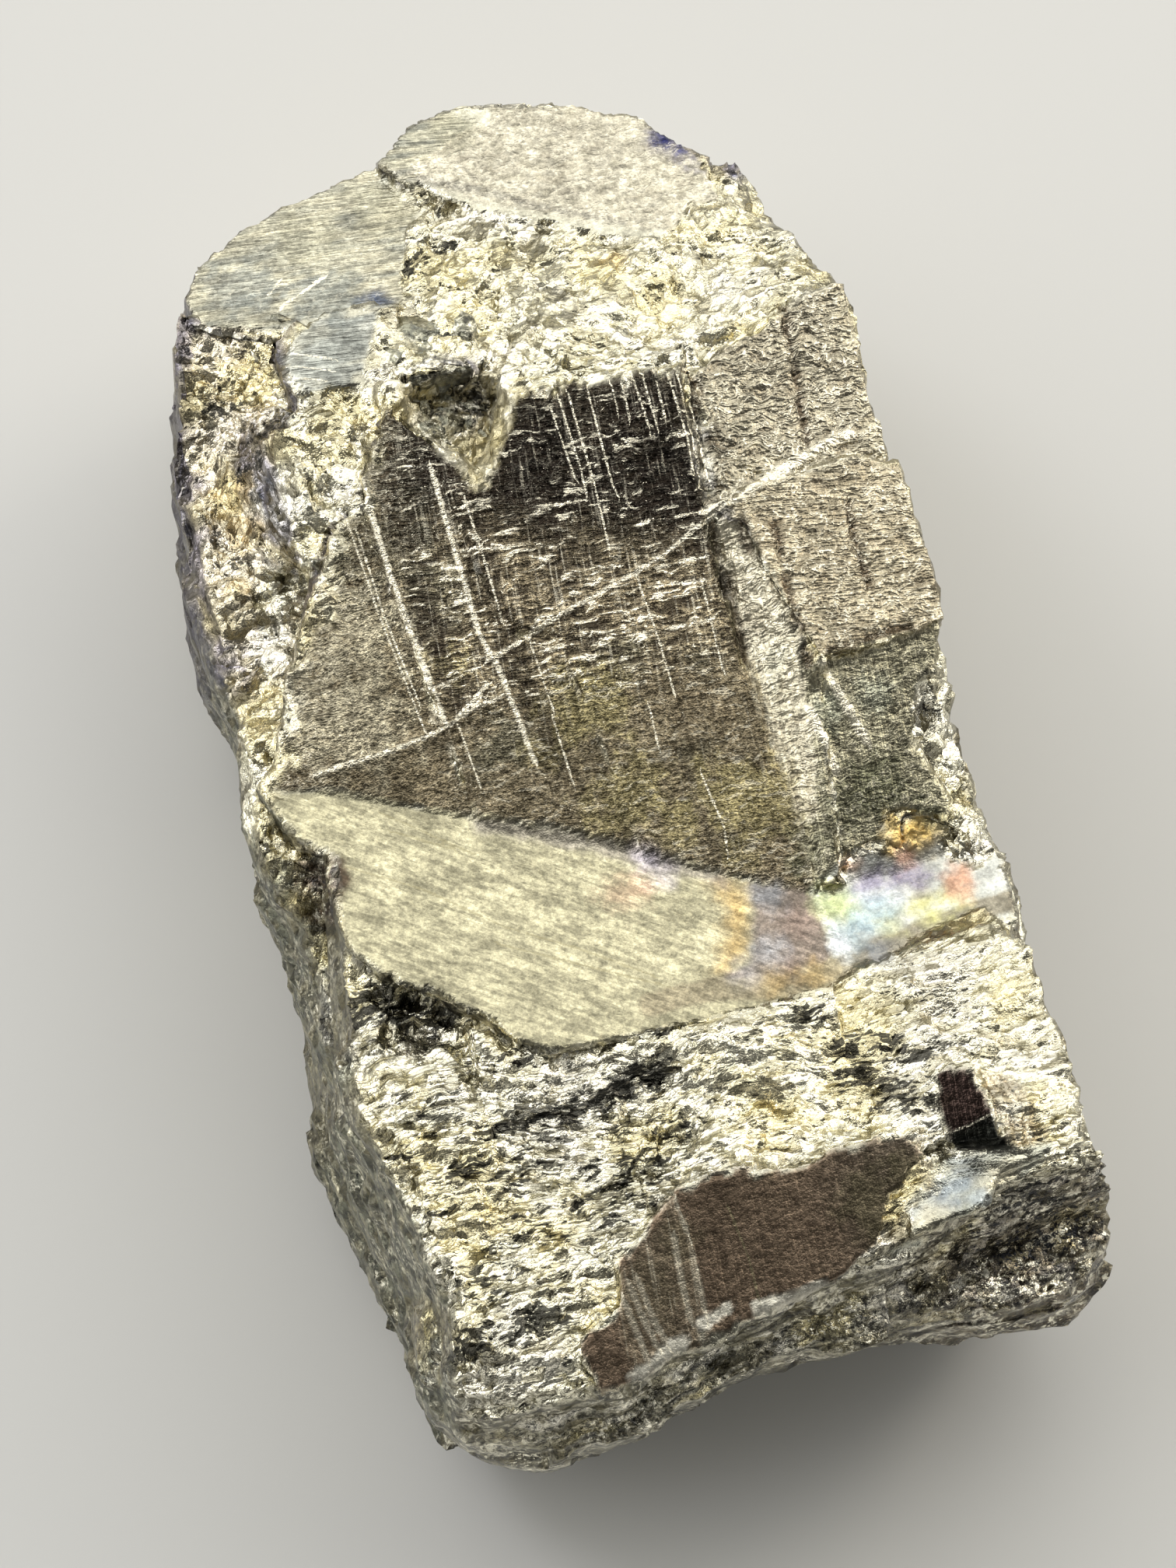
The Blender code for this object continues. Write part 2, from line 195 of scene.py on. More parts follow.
mesh = lump.data
count = len(mesh.vertices)
flat = np.empty(count * 3)
mesh.vertices.foreach_get("co", flat)
place = flat.reshape(-1, 3) / MM
mesh.vertices.foreach_get("normal", flat)
facing = flat.reshape(-1, 3).copy()
edges = np.empty(len(mesh.edges) * 2, np.int64)
mesh.edges.foreach_get("vertices", edges)
edges = edges.reshape(-1, 2)
degree = np.bincount(edges.ravel(), minlength=count)


def softened(values, rounds):
    """Values averaged with their neighbours' along the mesh's edges."""
    for _ in range(rounds):
        total = np.bincount(edges[:, 0], values[edges[:, 1]], count) + np.bincount(edges[:, 1],
            values[edges[:, 0]], count)
        values = 0.5 * values + 0.5 * total / np.maximum(degree, 1)
    return values


def step(low, high, values):
    """Smooth step from 0 at low to 1 at high."""
    t = np.clip((values - low) / (high - low), 0, 1)
    return t * t * (3 - 2 * t)


def inside(outline):
    """Millimetres from each point to an outline seen from above: positive inside it."""
    outline = np.array(outline, float)
    x, y = place[:, 0], place[:, 1]
    nearest = np.full(count, 1e9)
    within = np.zeros(count, bool)
    for (ax, ay), (bx, by) in zip(outline, np.roll(outline, -1, axis=0)):
        t = np.clip(((x - ax) * (bx - ax) + (y - ay) * (by - ay)) / ((bx - ax) ** 2 + (by - ay) ** 2), 0, 1)
        nearest = np.minimum(nearest, np.hypot(x - ax - t * (bx - ax), y - ay - t * (by - ay)))
        if ay != by:
            crosses = ((ay > y) != (by > y)) & (x < (bx - ax) * (y - ay) / (by - ay) + ax)
            within ^= crosses
    return np.where(within, nearest, -nearest)


def beside(lines):
    """Signed millimetres from each point to the nearest of some lines, seen from above."""
    x, y = place[:, 0], place[:, 1]
    nearest, signed = np.full(count, 1e9), np.full(count, 9.0)
    for line in lines:
        for (ax, ay), (bx, by) in zip(line, line[1:]):
            t = np.clip(((x - ax) * (bx - ax) + (y - ay) * (by - ay)) / ((bx - ax) ** 2 + (by - ay) ** 2), 0, 1)
            gap = np.hypot(x - ax - t * (bx - ax), y - ay - t * (by - ay))
            side = np.sign((bx - ax) * (y - ay) - (by - ay) * (x - ax))
            signed = np.where(gap < nearest, gap * side, signed)
            nearest = np.minimum(nearest, gap)
    return np.clip(signed, -3, 3)


def paired(lines):
    """The lines, turned so that neighbours have the same sign between them."""
    turned = []
    for line in lines:
        line = [Vector(p) for p in line]
        if turned:
            middle = (line[0] + line[-1]) / 2
            other = min(turned, key=lambda l: ((l[0] + l[-1]) / 2 - middle).length)
            other_middle = (other[0] + other[-1]) / 2
            here = (other[-1] - other[0]).cross(middle - other[0])
            there = (line[-1] - line[0]).cross(other_middle - line[0])
            if here * there < 0:
                line = line[::-1]
        turned.append(line)
    return turned


noise.seed_set(4)  # without it each run would draw other chips


def scaled(p, size, stretch, shift):
    """A point in steps of a pattern's size, drawn out along the axes by stretch."""
    return Vector((p[0] / size / stretch[0] + shift, p[1] / size / stretch[1], p[2] / size / stretch[2]))


def cloudy(size, stretch=(1, 1, 1), shift=0.0):
    """Soft noise of about this size in mm, from -1 to 1."""
    return np.array([noise.noise(scaled(p, size, stretch, shift)) for p in place])


def chips(size, stretch=(1, 1, 1), shift=0.0):
    """Heights of small flat chips, each tilted its own way, about this size in mm."""
    heights = np.empty(count)
    for i, p in enumerate(place):
        q = scaled(p, size, stretch, shift)
        q += 0.45 * noise.noise_vector(q * 1.2)
        middle = noise.voronoi(q)[1][0]
        heights[i] = (q - middle).dot(noise.cell_vector(middle * 37.3))
    return heights


def store(name, values):
    layer = mesh.attributes.new(name, "FLOAT", "POINT")
    layer.data.foreach_set("value", values.astype(np.float32))


def store_lines(name, lines):
    """Keeps the signed distance to some lines, and where they are near enough to be drawn."""
    signed = beside(paired(lines))
    store(f"{name}_gap", signed)
    store(f"{name}_near", step(0.5, 0.3, np.abs(signed)))


found = np.array([facets.find_nearest(Vector(p))[2] for p in place])
ragged = cloudy(0.9, shift=3.1) + 0.6 * cloudy(0.4, shift=8.2)
is_face = ((facet_area[found] > FACE_AREA) & (facet_up[found] > FACE_SLOPE)).astype(float)
crystal = step(0.30, 0.70, softened(is_face, 4) + 0.30 * ragged)
front = step(0.25, 0.45, softened(facing[:, 2], 3) + 0.1 * ragged) * step(7, 9, place[:, 2])

# Where each face or patch lies: its outline in millimetres, seen from above.
OUTLINES = {
    "main": [(-14.3, 1.0), (-13.1, 2.2), (-11.3, 6.6), (-9, 10.3), (-7.9, 12), (-6.6, 14), (-6, 16.6),
        (-2.5, 16.0), (-0.9, 14.6), (3.0, 14.1), (6.4, 14.3), (6.5, 12.9), (5.8, 8.5), (5.6, 4.8), (6.0, 2.8),
        (6.2, 1.2), (6.5, -1.1), (6.6, -7.8), (5.3, -7.4), (2.8, -6.1), (0.2, -4.6), (-1.7, -3.5), (-3.8, -2.7),
        (-5.8, -1.9), (-8.8, -0.7), (-10.8, 0.3)],
    "ledge": [(-14.3, 1.0), (-10.8, 0.3), (-8.8, -0.7), (-5.8, -1.9), (-3.8, -2.7), (-1.7, -3.5), (0.2, -4.6),
        (2.8, -6.1), (5.3, -7.4), (6.5, -7.8), (7.0, -12.6), (0, -13), (-6, -13), (-12.6, -9), (-13.4, -1.5)],
    "tarnished": [(6.3, -7.7), (7.4, -7), (8.4, -6.5), (9.8, -6.9), (9.7, -5.7), (10.9, -6), (12.3, -6.0),
        (14.5, -5.8), (14.5, -10.3), (9.8, -10.9), (6.3, -12.4)],
    "green": [(6.7, 1.6), (14.6, 1.9), (14.6, -5.5), (12.3, -6.0), (10.9, -6), (9.7, -5.7), (9.8, -6.9),
        (8.4, -6.5), (7.4, -7), (6.4, -7.7), (6.3, -4.3)],
    "flank": [(5.8, 7.9), (7.4, 7.6), (8.0, 5.3), (8.0, 1.6), (7.9, -0.8), (7.3, -4.7), (6.4, -5.4),
        (6.3, -1.7), (6.0, 1.7), (5.8, 4.9)],
    "raised": [(6.3, 7.9), (7.5, 8.7), (9.9, 8.8), (11.9, 9.2), (14.4, 8.4), (14.6, 4), (14.4, 1.7),
        (11.6, 1.3), (8.5, 1.1), (7.8, 4), (7, 7.1)],
    "upper_right": [(6.4, 13.6), (8.2, 14.8), (10.2, 15.3), (11.4, 16.2), (14.3, 16.9), (14.3, 9), (11.7, 8.8),
        (8.8, 8.4), (6.1, 8.3), (6.4, 9.6)],
    "grey": [(-9.2, 19.9), (-7.2, 19.8), (-5.0, 19.5), (-5.6, 18.1), (-6.2, 17.0), (-7.5, 16.3), (-8.5, 16.4),
        (-9.4, 17.6)],
    "band": [(-13, 20.5), (-13, 25), (-8, 28), (-2.6, 28.6), (0.5, 29.5), (1.5, 28.7), (-0.2, 27.6),
        (-1.8, 26.1), (-2.2, 23.6), (-3.4, 21.8), (-3.9, 19.7), (-6.9, 20.0), (-9.5, 20.1), (-12.4, 20.9)],
    "dome": [(-2.0, 26.5), (-0.2, 27.6), (2, 28.9), (4, 30.5), (8, 30), (10.5, 26), (10.6, 22), (9.6, 20.9),
        (7.3, 21.3), (5.3, 22), (3.6, 22.9), (0.9, 24.2), (-1, 25.4)],
    "brown": [(-2.4, -18.4), (0.3, -18.2), (2.8, -18.4), (4.4, -18.2), (6.8, -18.1), (8.3, -19.1), (7.3, -19.9),
        (6.1, -21.3), (5.1, -22.5), (3.5, -22.9), (1.7, -23.2), (0.1, -23.3), (-0.6, -23.7), (-1.9, -23.7),
        (-3.4, -24.1), (-5.1, -24.8), (-6.8, -25.1), (-7.2, -23.1), (-5.5, -22.3), (-5.1, -20.8),
        (-3.5, -19.6)],
    "chipped": [(8.6, -16.1), (10.1, -16.3), (10.2, -17.3), (10.5, -18.1), (10.8, -19.5), (8.6, -19.2),
        (8.5, -17.4)],
    "pale": [(5.4, -22.4), (6.0, -21.2), (6.8, -20.4), (8.3, -19.3), (10.4, -19.7), (12.6, -19.7),
        (11.0, -20.8), (8.7, -21.6), (7.2, -22.4)],
    "fan": [(10.2, -16.4), (11.6, -17.0), (12.2, -18.0), (12.5, -19.6), (11.2, -19.7), (10.8, -19.2),
        (10.5, -18.2)],
    "corner": [(8.6, -18.5), (10.3, -18.2), (10.6, -19.0), (10.9, -19.7), (9.7, -19.3), (8.6, -19.2)],
    "rust": [(-13.2, -1.6), (-11.4, -2.8), (-11.6, -3.9), (-12.4, -5.2), (-13.6, -3.8)],
    "column": [(-16, 3), (-13.3, 5), (-12.3, 7.2), (-12.3, 9.1), (-11.6, 10.8), (-10.9, 12), (-11.5, 12.8),
        (-11.5, 14), (-10.2, 15.3), (-9.8, 16.8), (-9.3, 19.8), (-11.8, 21.3), (-16, 21.0)],
    "end": [(-12.0, -24.9), (-8, -25.1), (-6.8, -25.3), (-3.5, -24.6), (-0.5, -24.1), (4, -23.3), (7.8, -22.4),
        (10.8, -21.0), (13, -20.9), (17, -20.5), (17, -31), (-17, -31), (-14, -25)],
    "flank_left": [(-11.6, -2.9), (-12.2, -4.8), (-12.6, -6.2), (-13.1, -10.5), (-13.1, -13.1), (-12.7, -15),
        (-12.0, -16.8), (-11.8, -19.1), (-11.5, -20.9), (-11.8, -22.2), (-12.2, -24.6), (-14, -25.6),
        (-17, -24), (-17, -1), (-14.3, -1.5)],
    "lower": [(-14, -7), (-8, -10), (-5, -12), (7, -11.2), (9.8, -10.3), (15, -10.3), (15, -22), (9, -22),
        (-12, -25.5), (-14, -20)],
    "plum": [(3.9, -6.8), (6.2, -7.6), (6.3, -10.3), (5.8, -11.0), (3.8, -11.3), (1.2, -10.9), (2.9, -10.2),
        (3.9, -7.3)],
    "gold_edge": [(2.9, -6.3), (3.9, -6.8), (3.9, -7.3), (2.9, -10.2), (1.3, -10.6), (1.9, -9.2), (2.6, -8.0),
        (2.3, -7.0)],
    "notch": [(-5.2, 15.7), (-4.2, 16.1), (-3.0, 16.1), (-1.9, 15.9), (-0.6, 15.1), (-1.1, 14.1), (-1.4, 13.3),
        (-2.1, 12.3), (-2.8, 11.1), (-3.4, 12.2), (-4.1, 13.6), (-4.7, 14.9)],
    "striped": [(-2.4, -18.5), (-2.1, -20.3), (-2.2, -23.7), (-3.8, -24.4), (-5.2, -24.8), (-5.5, -22.9),
        (-5.1, -21.1), (-4.3, -20.4), (-3.2, -19.7)],
    "rippled": [(4.5, -11.4), (10, -10.2), (15, -10.2), (15, -17), (11.5, -16.4), (8.5, -15.4), (6, -13.4)],
}
gap = {name: inside(outline) for name, outline in OUTLINES.items()}
# Crystal faces end raggedly where the break begins, most of all under the upper break's overhang.
brow = [(-2.9, 17.4), (6.8, 16.6), (7.0, 14.2), (3.2, 13.9), (-0.4, 14.3)]
fringe = cloudy(0.28, (0.6, 4, 1), shift=121.0)
crystal *= 1 - step(-0.2, 0.2, inside(brow) + 0.30 * ragged + 0.8 * fringe)
bare = [(-5.7, 16.2), (-6.2, 17.0), (-5.6, 18.1), (-4.9, 19.5), (-3.9, 19.7), (-4.0, 16.8)]
crystal *= 1 - step(-0.15, 0.15, inside(bare) + 0.25 * ragged)
shore = [[(-14.3, 1.0), (-13.1, 2.2), (-11.3, 6.6), (-9, 10.3), (-7.9, 12), (-6.6, 14)]]
shore_gap = np.abs(beside(shore))
crystal *= 1 - 0.85 * step(1.1, 0.1, shore_gap + 0.9 * ragged)
area = {name: step(-0.12, 0.12, values + 0.22 * ragged) * front for name, values in gap.items()}
area["brown"] = step(-0.12, 0.12, gap["brown"] + 0.42 * ragged) * front
FACES = ("main", "ledge", "tarnished", "green", "flank", "raised", "upper_right", "grey", "band", "dome",
    "brown", "chipped", "pale")

# Colour of each place: the fresh break is pale brass, weathered faces are brown, olive or grey.
# The large face's brown is partly a painted dark reflection, and the chipped face's dark brown partly painted
# shade of its pit.
TONES = {
    "broken": "f1ecd4", "column": "e6dcc4", "main": "8c8067", "ledge": "bdb799", "tarnished": "fbfcf2",
    "green": "b6b094", "flank": "f4ebcf", "raised": "c6ba9e", "upper_right": "cbc2a9", "grey": "c6c6ba",
    "band": "c4c0aa", "dome": "f2ead2", "brown": "98846f", "chipped": "5c4c46", "pale": "d3d4c4",
    "side": "8f9080", "end": "9c9886", "plum": "91857a", "gold_edge": "c9ad76", "notch": "b5ab88",
    "fan": "85755c", "striped": "a09079", "corner": "3a3b36", "rust": "4c3a30",
}
tone = np.tile(np.array(linear(TONES["broken"])[:3]), (count, 1))


def tint(weight, code):
    """Mixes a colour into the tone of every point by its weight."""
    colour = np.array(linear(code)[:3])
    tone[:] += (colour - tone) * np.clip(weight, 0, 1)[:, None]


tint(area["column"], TONES["column"])
tint(1 - front, TONES["side"])
# The sides that don't face up are duller, and the hidden ones carry patches of lighter and darker brass.
patchy = cloudy(5.0, shift=101.0) + 0.5 * cloudy(2.0, shift=111.0)
hidden = (1 - front) * step(-0.1, 0.4, np.maximum(facing[:, 0], facing[:, 1]))
tint(hidden, "b3a788")
tint(hidden * step(0.0, 0.5, patchy) * 0.6, "8c8068")
tint(hidden * step(0.1, 0.6, -patchy) * 0.5, "d2c6a2")
tint((1 - front) * step(0.3, 0.6, -facing[:, 1]), TONES["end"])
film = step(0.2, 0.6, -facing[:, 0]) * step(5, 9, place[:, 1]) * step(2, 6, place[:, 2] + ragged)
tint(step(0.85, 0.6, facing[:, 2]) * film * 0.8, "625e70")
tint(area["end"], TONES["end"])
tint(area["flank_left"], TONES["side"])
for name in FACES:
    tint(area[name] * crystal, TONES[name])
tint(step(-0.5, 0.8, gap["gold_edge"] + 0.4 * ragged) * area["ledge"] * 0.9, TONES["gold_edge"])
tint(step(-0.15, 0.25, gap["plum"] + 0.15 * ragged) * np.maximum(area["ledge"], area["plum"]) * front,
    TONES["plum"])
tint(area["notch"] * 0.75, TONES["notch"])
tint(area["fan"] * 0.85, TONES["fan"])
tint(area["brown"] * crystal * step(2.0, 6.5, place[:, 0] + 0.5 * ragged) * 0.45, "a09684")
tint(area["striped"] * crystal, TONES["striped"])
tint(area["corner"], TONES["corner"])
tint(step(-0.2, 0.2, gap["rust"] + 0.25 * ragged) * 0.9, TONES["rust"])
tint(area["pale"] * 0.9, TONES["pale"])
tint(area["rippled"] * (1 - crystal) * 0.55, "cfc8ac")
tint((1 - crystal) * step(14.0, 16.0, place[:, 1]) * front * step(-9.5, -7.5, place[:, 0]) * 0.6, "dbd4b6")
# Rims and strips: a bevel under the ledge, a dull strip on the dome, light on the broken right rim and painted
# highlights on the broken rim at the near end.
BEVEL = [[(13.8, -9.9), (11.2, -10.2), (9.9, -10.4), (8.6, -10.7), (7.6, -10.8), (5.9, -11.3), (3.8, -11.6),
    (1.0, -11.1), (-1.5, -11.3)]]
tint(step(0.62, 0.40, np.abs(beside(BEVEL)) + 0.12 * ragged) * front * 0.85, "9a9078")
DOME_STRIP = [[(-2.4, 26.6), (-1.3, 25.9), (0.6, 25.0), (2.7, 23.7), (6.1, 22.0)]]
tint(step(0.36, 0.14, np.abs(beside(DOME_STRIP)) + 0.08 * ragged + 0.02 * np.maximum(place[:, 0], 0)) * front
    * 0.6, "93918a")
SHELF_RIM = [[(-5.8, -2.3), (-3.8, -3.1), (-1.7, -3.9), (0.2, -5.0), (2.8, -6.5)]]
tint(step(0.6, 0.1, np.abs(beside(SHELF_RIM)) + 0.25 * ragged) * area["ledge"] * 0.5, "a39a98")
RIGHT_RIM = [[(13.6, 16.6), (13.5, 13.5), (13.4, 10.6), (13.9, 8.2), (14.0, 5.0)]]
tint(step(0.45, 0.15, np.abs(beside(RIGHT_RIM)) + 0.3 * ragged) * 0.6, "efe4c4")
RIM_FLAKE_HIGHLIGHTS = [[(-5.4, -24.7), (-4.7, -24.5), (-3.7, -24.0), (-3.3, -24.0)], [(-2.3, -23.4), (-1.4, -23.1)],
    [(-0.2, -23.3), (1.2, -23.3)], [(1.7, -23.2), (2.3, -23.1)]]
rim_flake_highlights = step(0.34, 0.20, np.abs(beside(RIM_FLAKE_HIGHLIGHTS)) + 0.15 * ragged) * front
tint(rim_flake_highlights, "fbf6e4")
# Thin folded foil of fresh metal round the notch, its rims painted cream as highlights, and gold shards beside
# the tarnished face.
FOIL_RIM_HIGHLIGHTS = [[(-5.1, 15.8), (-4.7, 14.9), (-4.1, 13.6), (-3.4, 12.2), (-2.85, 11.2)],
    [(-0.7, 15.0), (-1.1, 14.1), (-1.45, 13.3), (-2.1, 12.3), (-2.8, 11.3)]]
foil_edge_highlight = step(0.55, 0.30, np.abs(beside(FOIL_RIM_HIGHLIGHTS)) + 0.22 * ragged) * front
tint(foil_edge_highlight, "fbf6e0")
shards = step(0.1, 0.5, 0.9 - np.hypot((place[:, 0] - 10.7) / 1.8, (place[:, 1] + 6.25) / 1.0) + 0.35
    * cloudy(0.35, (0.6, 2.2, 1), shift=91.0)) * front
tint(shards, "fbe0a0")

# Films and stains, and patches of painted shade and painted dark reflection: the colour, then each patch's
# middle, radius and strength.
PATCHES = {
    # These near-black patches on the large face are a painted dark reflection on bare metal.
    "bare_metal_painted_reflection": ("2a2622", [(4.5, 9.9, 2.6, 0.95), (-0.4, 12.3, 1.6, 0.9), (4.3, 13, 1.2, 0.7),
        (2.3, 10.1, 1.4, 0.7), (-0.6, 10, 1.5, 0.7), (-5.5, 9.5, 0.7, 0.8), (-5.2, 12.5, 1.1, 0.8),
        (-5.9, 11.2, 0.9, 0.6)]),
    "khaki_film": ("6e6956", [(-6.5, 9.4, 2, 0.8), (-5.6, 6.8, 1.5, 0.7), (-5.8, 12.2, 1.5, 0.8),
        (1, 3.2, 1.1, 0.8), (4, 2, 0.7, 0.7), (-4.3, 0.5, 1.2, 0.9), (-8.6, 9.2, 0.9, 0.7),
        (-8.1, 7.7, 0.7, 0.6), (3.1, -1, 0.8, 0.6), (6, -5.1, 0.6, 0.6)]),
    "umber_film": ("8c7f66", [(-2.2, 6.6, 1.5, 0.7), (3.9, 7.4, 1, 0.6), (1.4, 5.2, 1.4, 0.7),
        (3.7, 4.8, 1.2, 0.8), (3.1, 0.9, 1.4, 0.9), (3.7, 0.5, 1.5, 0.9), (5.4, -5.7, 1, 0.8),
        (-7.9, 3.7, 0.7, 0.5)]),
    "dust": ("cfc5a8", [(-9.9, 5.7, 2.8, 0.9), (-10, 2.9, 2.3, 0.8), (-10.2, 7.9, 1.1, 0.7)]),
    "bronze_film": ("a89c70", [(-0.7, 1.7, 1.7, 0.9), (5.1, -3.7, 1.8, 0.8), (3.8, -3.3, 1.5, 0.8),
        (0.2, -2.4, 1.8, 0.8), (1.5, -4.1, 1.1, 0.6), (4.1, -5.7, 0.8, 0.5), (-2.8, -0.2, 0.7, 0.7),
        (-5.6, 4.2, 0.9, 0.6)]),
    "green_film": ("74745c", [(9.9, -4.3, 1.3, 0.85), (6.8, -5.9, 1.0, 0.5), (8.5, -4.6, 1.0, 0.7),
        (6, -6.6, 0.6, 0.7), (10.5, -4, 0.8, 0.6), (8.4, -1.7, 0.4, 0.7), (11.5, -5.7, 0.7, 0.9)]),
    "pale_film": ("c0c4ae", [(8.6, -0.8, 0.7, 0.6), (10.6, -0.5, 0.8, 0.6)]),
    "gold_tarnish": ("f2cf80", [(9.8, -6.9, 0.35, 0.9), (10.6, -6.3, 0.7, 0.95), (11.3, -6.8, 0.6, 0.8),
        (5.2, 20.2, 0.5, 0.6)]),
    "yellow_tarnish": ("f4f0a4", [(8.7, -9.6, 0.6, 0.8), (10.4, -9.4, 0.8, 0.95), (11.7, -9.2, 0.6, 0.7)]),
    "mint_tarnish": ("e4f0b4", [(7.0, -8.5, 0.8, 0.95), (7.6, -9.0, 0.5, 0.7)]),
    "ice_tarnish": ("d6ecf4", [(7.2, -10.0, 0.7, 0.9), (8.7, -8.9, 0.8, 0.9), (7.9, -9.6, 0.5, 0.8)]),
    "lilac_tarnish": ("beb6cc", [(8.8, -7.8, 0.7, 0.9), (10.4, -8.0, 0.8, 0.9), (9.6, -7.6, 0.5, 0.7),
        (0.6, -5.7, 0.7, 0.4), (0.1, -4.8, 0.6, 0.4)]),
    "peach_tarnish": ("f0c0a2", [(12.2, -8.4, 0.6, 0.95), (12.0, -9.0, 0.5, 0.8), (8.2, -7.0, 0.4, 0.8),
        (10.3, -7.1, 0.5, 0.8), (-1.1, -6.4, 0.8, 0.3), (-0.2, -6.2, 0.5, 0.3)]),
    "white_tarnish": ("f6fbff", [(6.7, -10.3, 0.5, 0.9), (9.6, -8.7, 0.4, 0.6)]),
    "plum_tarnish": ("8e7a70", [(5.4, -9.0, 0.8, 0.6), (4.3, -10.9, 0.7, 0.5)]),
    "ochre_tarnish": ("b49a66", [(3.4, -11.2, 0.8, 0.7), (5.2, -11.3, 0.7, 0.6)]),
    "steel_tarnish": ("9c9fa4", [(3.8, -10.0, 0.7, 0.7), (2.8, -10.8, 0.7, 0.5), (4.5, -7.6, 0.7, 0.7),
        (8.0, -10.9, 0.7, 0.7)]),
    "blue_tarnish": ("66718a", [(-4.9, 20.5, 0.55, 1), (-5.5, 20.6, 0.3, 0.8)]),
    "navy_tarnish": ("2a3488", [(10.2, 25.6, 0.9, 1), (9.2, 26.2, 0.8, 1), (10.9, 25.0, 0.8, 1),
        (11.4, 24.2, 0.7, 0.9), (-13.9, 7.3, 0.6, 0.8), (-13.4, 6.0, 0.5, 0.8)]),
    "violet_tarnish": ("54506a", [(-13.8, 19.3, 0.6, 0.8), (-13.8, 17.2, 0.7, 0.8), (-13.6, 15.0, 0.6, 0.7),
        (-13.8, 12.6, 0.6, 0.7)]),
    "grey_tarnish": ("98a0a8", [(7.7, -20.7, 0.7, 0.8), (8.9, -20.0, 0.6, 0.7), (6.6, -21.2, 0.4, 0.7)]),
    "cream_tarnish": ("efe6c8", [(7.0, -21.8, 0.8, 0.7), (10.4, -20.5, 0.6, 0.8), (9.6, -20.9, 0.5, 0.6)]),
    "straw_film": ("c4bfa4", [(-7, 24.4, 1.5, 0.6), (-3.3, 25.1, 1.5, 0.6), (0.5, 28.6, 1.1, 0.6)]),
    "grey_film": ("999d97", [(-6.8, 21, 1.7, 0.7), (-9.9, 22.4, 1.6, 0.7), (-7.5, 18.2, 1.7, 0.5)]),
    "deep_brass": ("c8ad74", [(-12.4, 13.8, 0.9, 0.6), (-12.2, 12.1, 0.7, 0.5), (-12.6, 10, 0.6, 0.5),
        (-9.3, -17.8, 0.6, 0.4), (4.5, 20.1, 0.3, 0.6)]),
    "bright_brass": ("efe0ae", [(-10.8, 18.4, 1.1, 0.8), (2.3, -16.8, 1.3, 0.4)]),
    "cavity_dirt": ("2c2a22", [(-11.9, 17.5, 0.6, 0.8), (-11.8, 18.6, 0.4, 0.6), (-10.7, 19.5, 0.4, 0.7),
        (-10.4, 15.8, 0.7, 0.8), (-11.6, 14.5, 0.5, 0.7), (-11.6, -8.6, 0.9, 1.0), (-12.2, -9.3, 0.6, 1.0),
        (-10.4, -9.3, 0.9, 1.0), (-9.0, -9.9, 0.7, 0.95), (-9.6, -15.7, 0.6, 0.75), (-12.1, -14.8, 0.3, 0.9),
        (-11.1, -17.2, 0.4, 0.7), (-5.3, -17.0, 0.6, 0.8), (-3.2, -17.0, 0.7, 0.85), (-2.4, -14.0, 0.9, 0.95),
        (-3.5, -14.3, 0.6, 0.9), (-8.3, -21.9, 0.8, 0.8), (-10.9, -22.2, 0.9, 0.75), (-5.2, -19.0, 0.5, 0.7),
        (-6.7, -12.3, 0.6, 0.7), (-1.5, -12.4, 0.5, 0.85), (-0.2, -15.2, 0.4, 0.6), (4.4, -13.1, 0.6, 0.8),
        (-8.3, -18.6, 1.4, 0.40), (-4.9, -18.2, 1.3, 0.40), (-7.5, -16.6, 1.3, 0.35), (-9.9, -20.3, 1.2, 0.40),
        (-7.2, -23.9, 1.2, 0.35), (-2.0, -16.0, 0.9, 0.45), (1.4, -14.7, 0.5, 0.4), (-2.1, 22.0, 0.5, 0.6),
        (-3.2, 21.0, 0.4, 0.5), (-2.0, 20.2, 0.5, 0.3), (2.2, 19.5, 0.5, 0.35), (-3.6, 15.2, 0.55, 0.8),
        (-1.9, 14.8, 0.5, 0.8), (-2.6, 15.5, 0.6, 0.8), (-2.7, 14.2, 0.5, 0.7), (-4.2, 15.3, 0.4, 0.7),
        (3, -23, 0.8, 0.8), (9.4, -18.6, 0.4, 0.8), (12.6, 0.0, 0.5, 0.8), (13.4, 3.2, 0.4, 0.7),
        (12.9, -1.4, 0.4, 0.8)]),
    "brown_dirt": ("4f4533", [(5.6, -14.4, 0.7, 0.75), (6.9, -14.7, 0.7, 0.8), (7.9, -15.3, 0.6, 0.85),
        (5.5, -15.6, 0.8, 0.85), (6.9, -16.2, 0.9, 0.9), (7.9, -17.2, 0.7, 0.9), (6.4, -16.9, 0.5, 0.7),
        (11.7, -22.2, 1.8, 0.7)]),
    "steel_dark": ("3c3f4a", [(-11, 13.2, 0.4, 0.9), (-11, 12.2, 0.3, 0.8), (-10.7, 12, 0.4, 0.5)]),
    "olive_film": ("8c8268", [(5.1, -20.3, 1.4, 0.8), (5.5, -21.7, 0.8, 0.8), (6.8, -19.6, 1, 0.8),
        (-4.1, -21.9, 1.2, 0.4), (-2.5, -20.2, 0.8, 0.5)]),
    "frost": ("c2ccd0", [(8.3, -20.3, 0.6, 0.8), (9.1, -21.2, 0.5, 0.7), (11.2, -18.3, 0.5, 0.4)]),
}
blot = 0.6 * cloudy(0.7, shift=21.0) + 0.5 * cloudy(0.3, shift=5.0)
rows = cloudy(0.4, (1, 7, 1), shift=31.0) + 0.6 * cloudy(0.35, (6, 1, 1), shift=41.0)
on_band = (area["band"] + area["grey"] * 0.6) * crystal
flecks = cloudy(0.45, (1, 1, 1), shift=51.0) + 0.5 * cloudy(0.22, shift=61.0)
bands = cloudy(0.5, (4, 1, 1), shift=71.0) + 0.5 * cloudy(0.25, (3, 1, 1), shift=81.0)
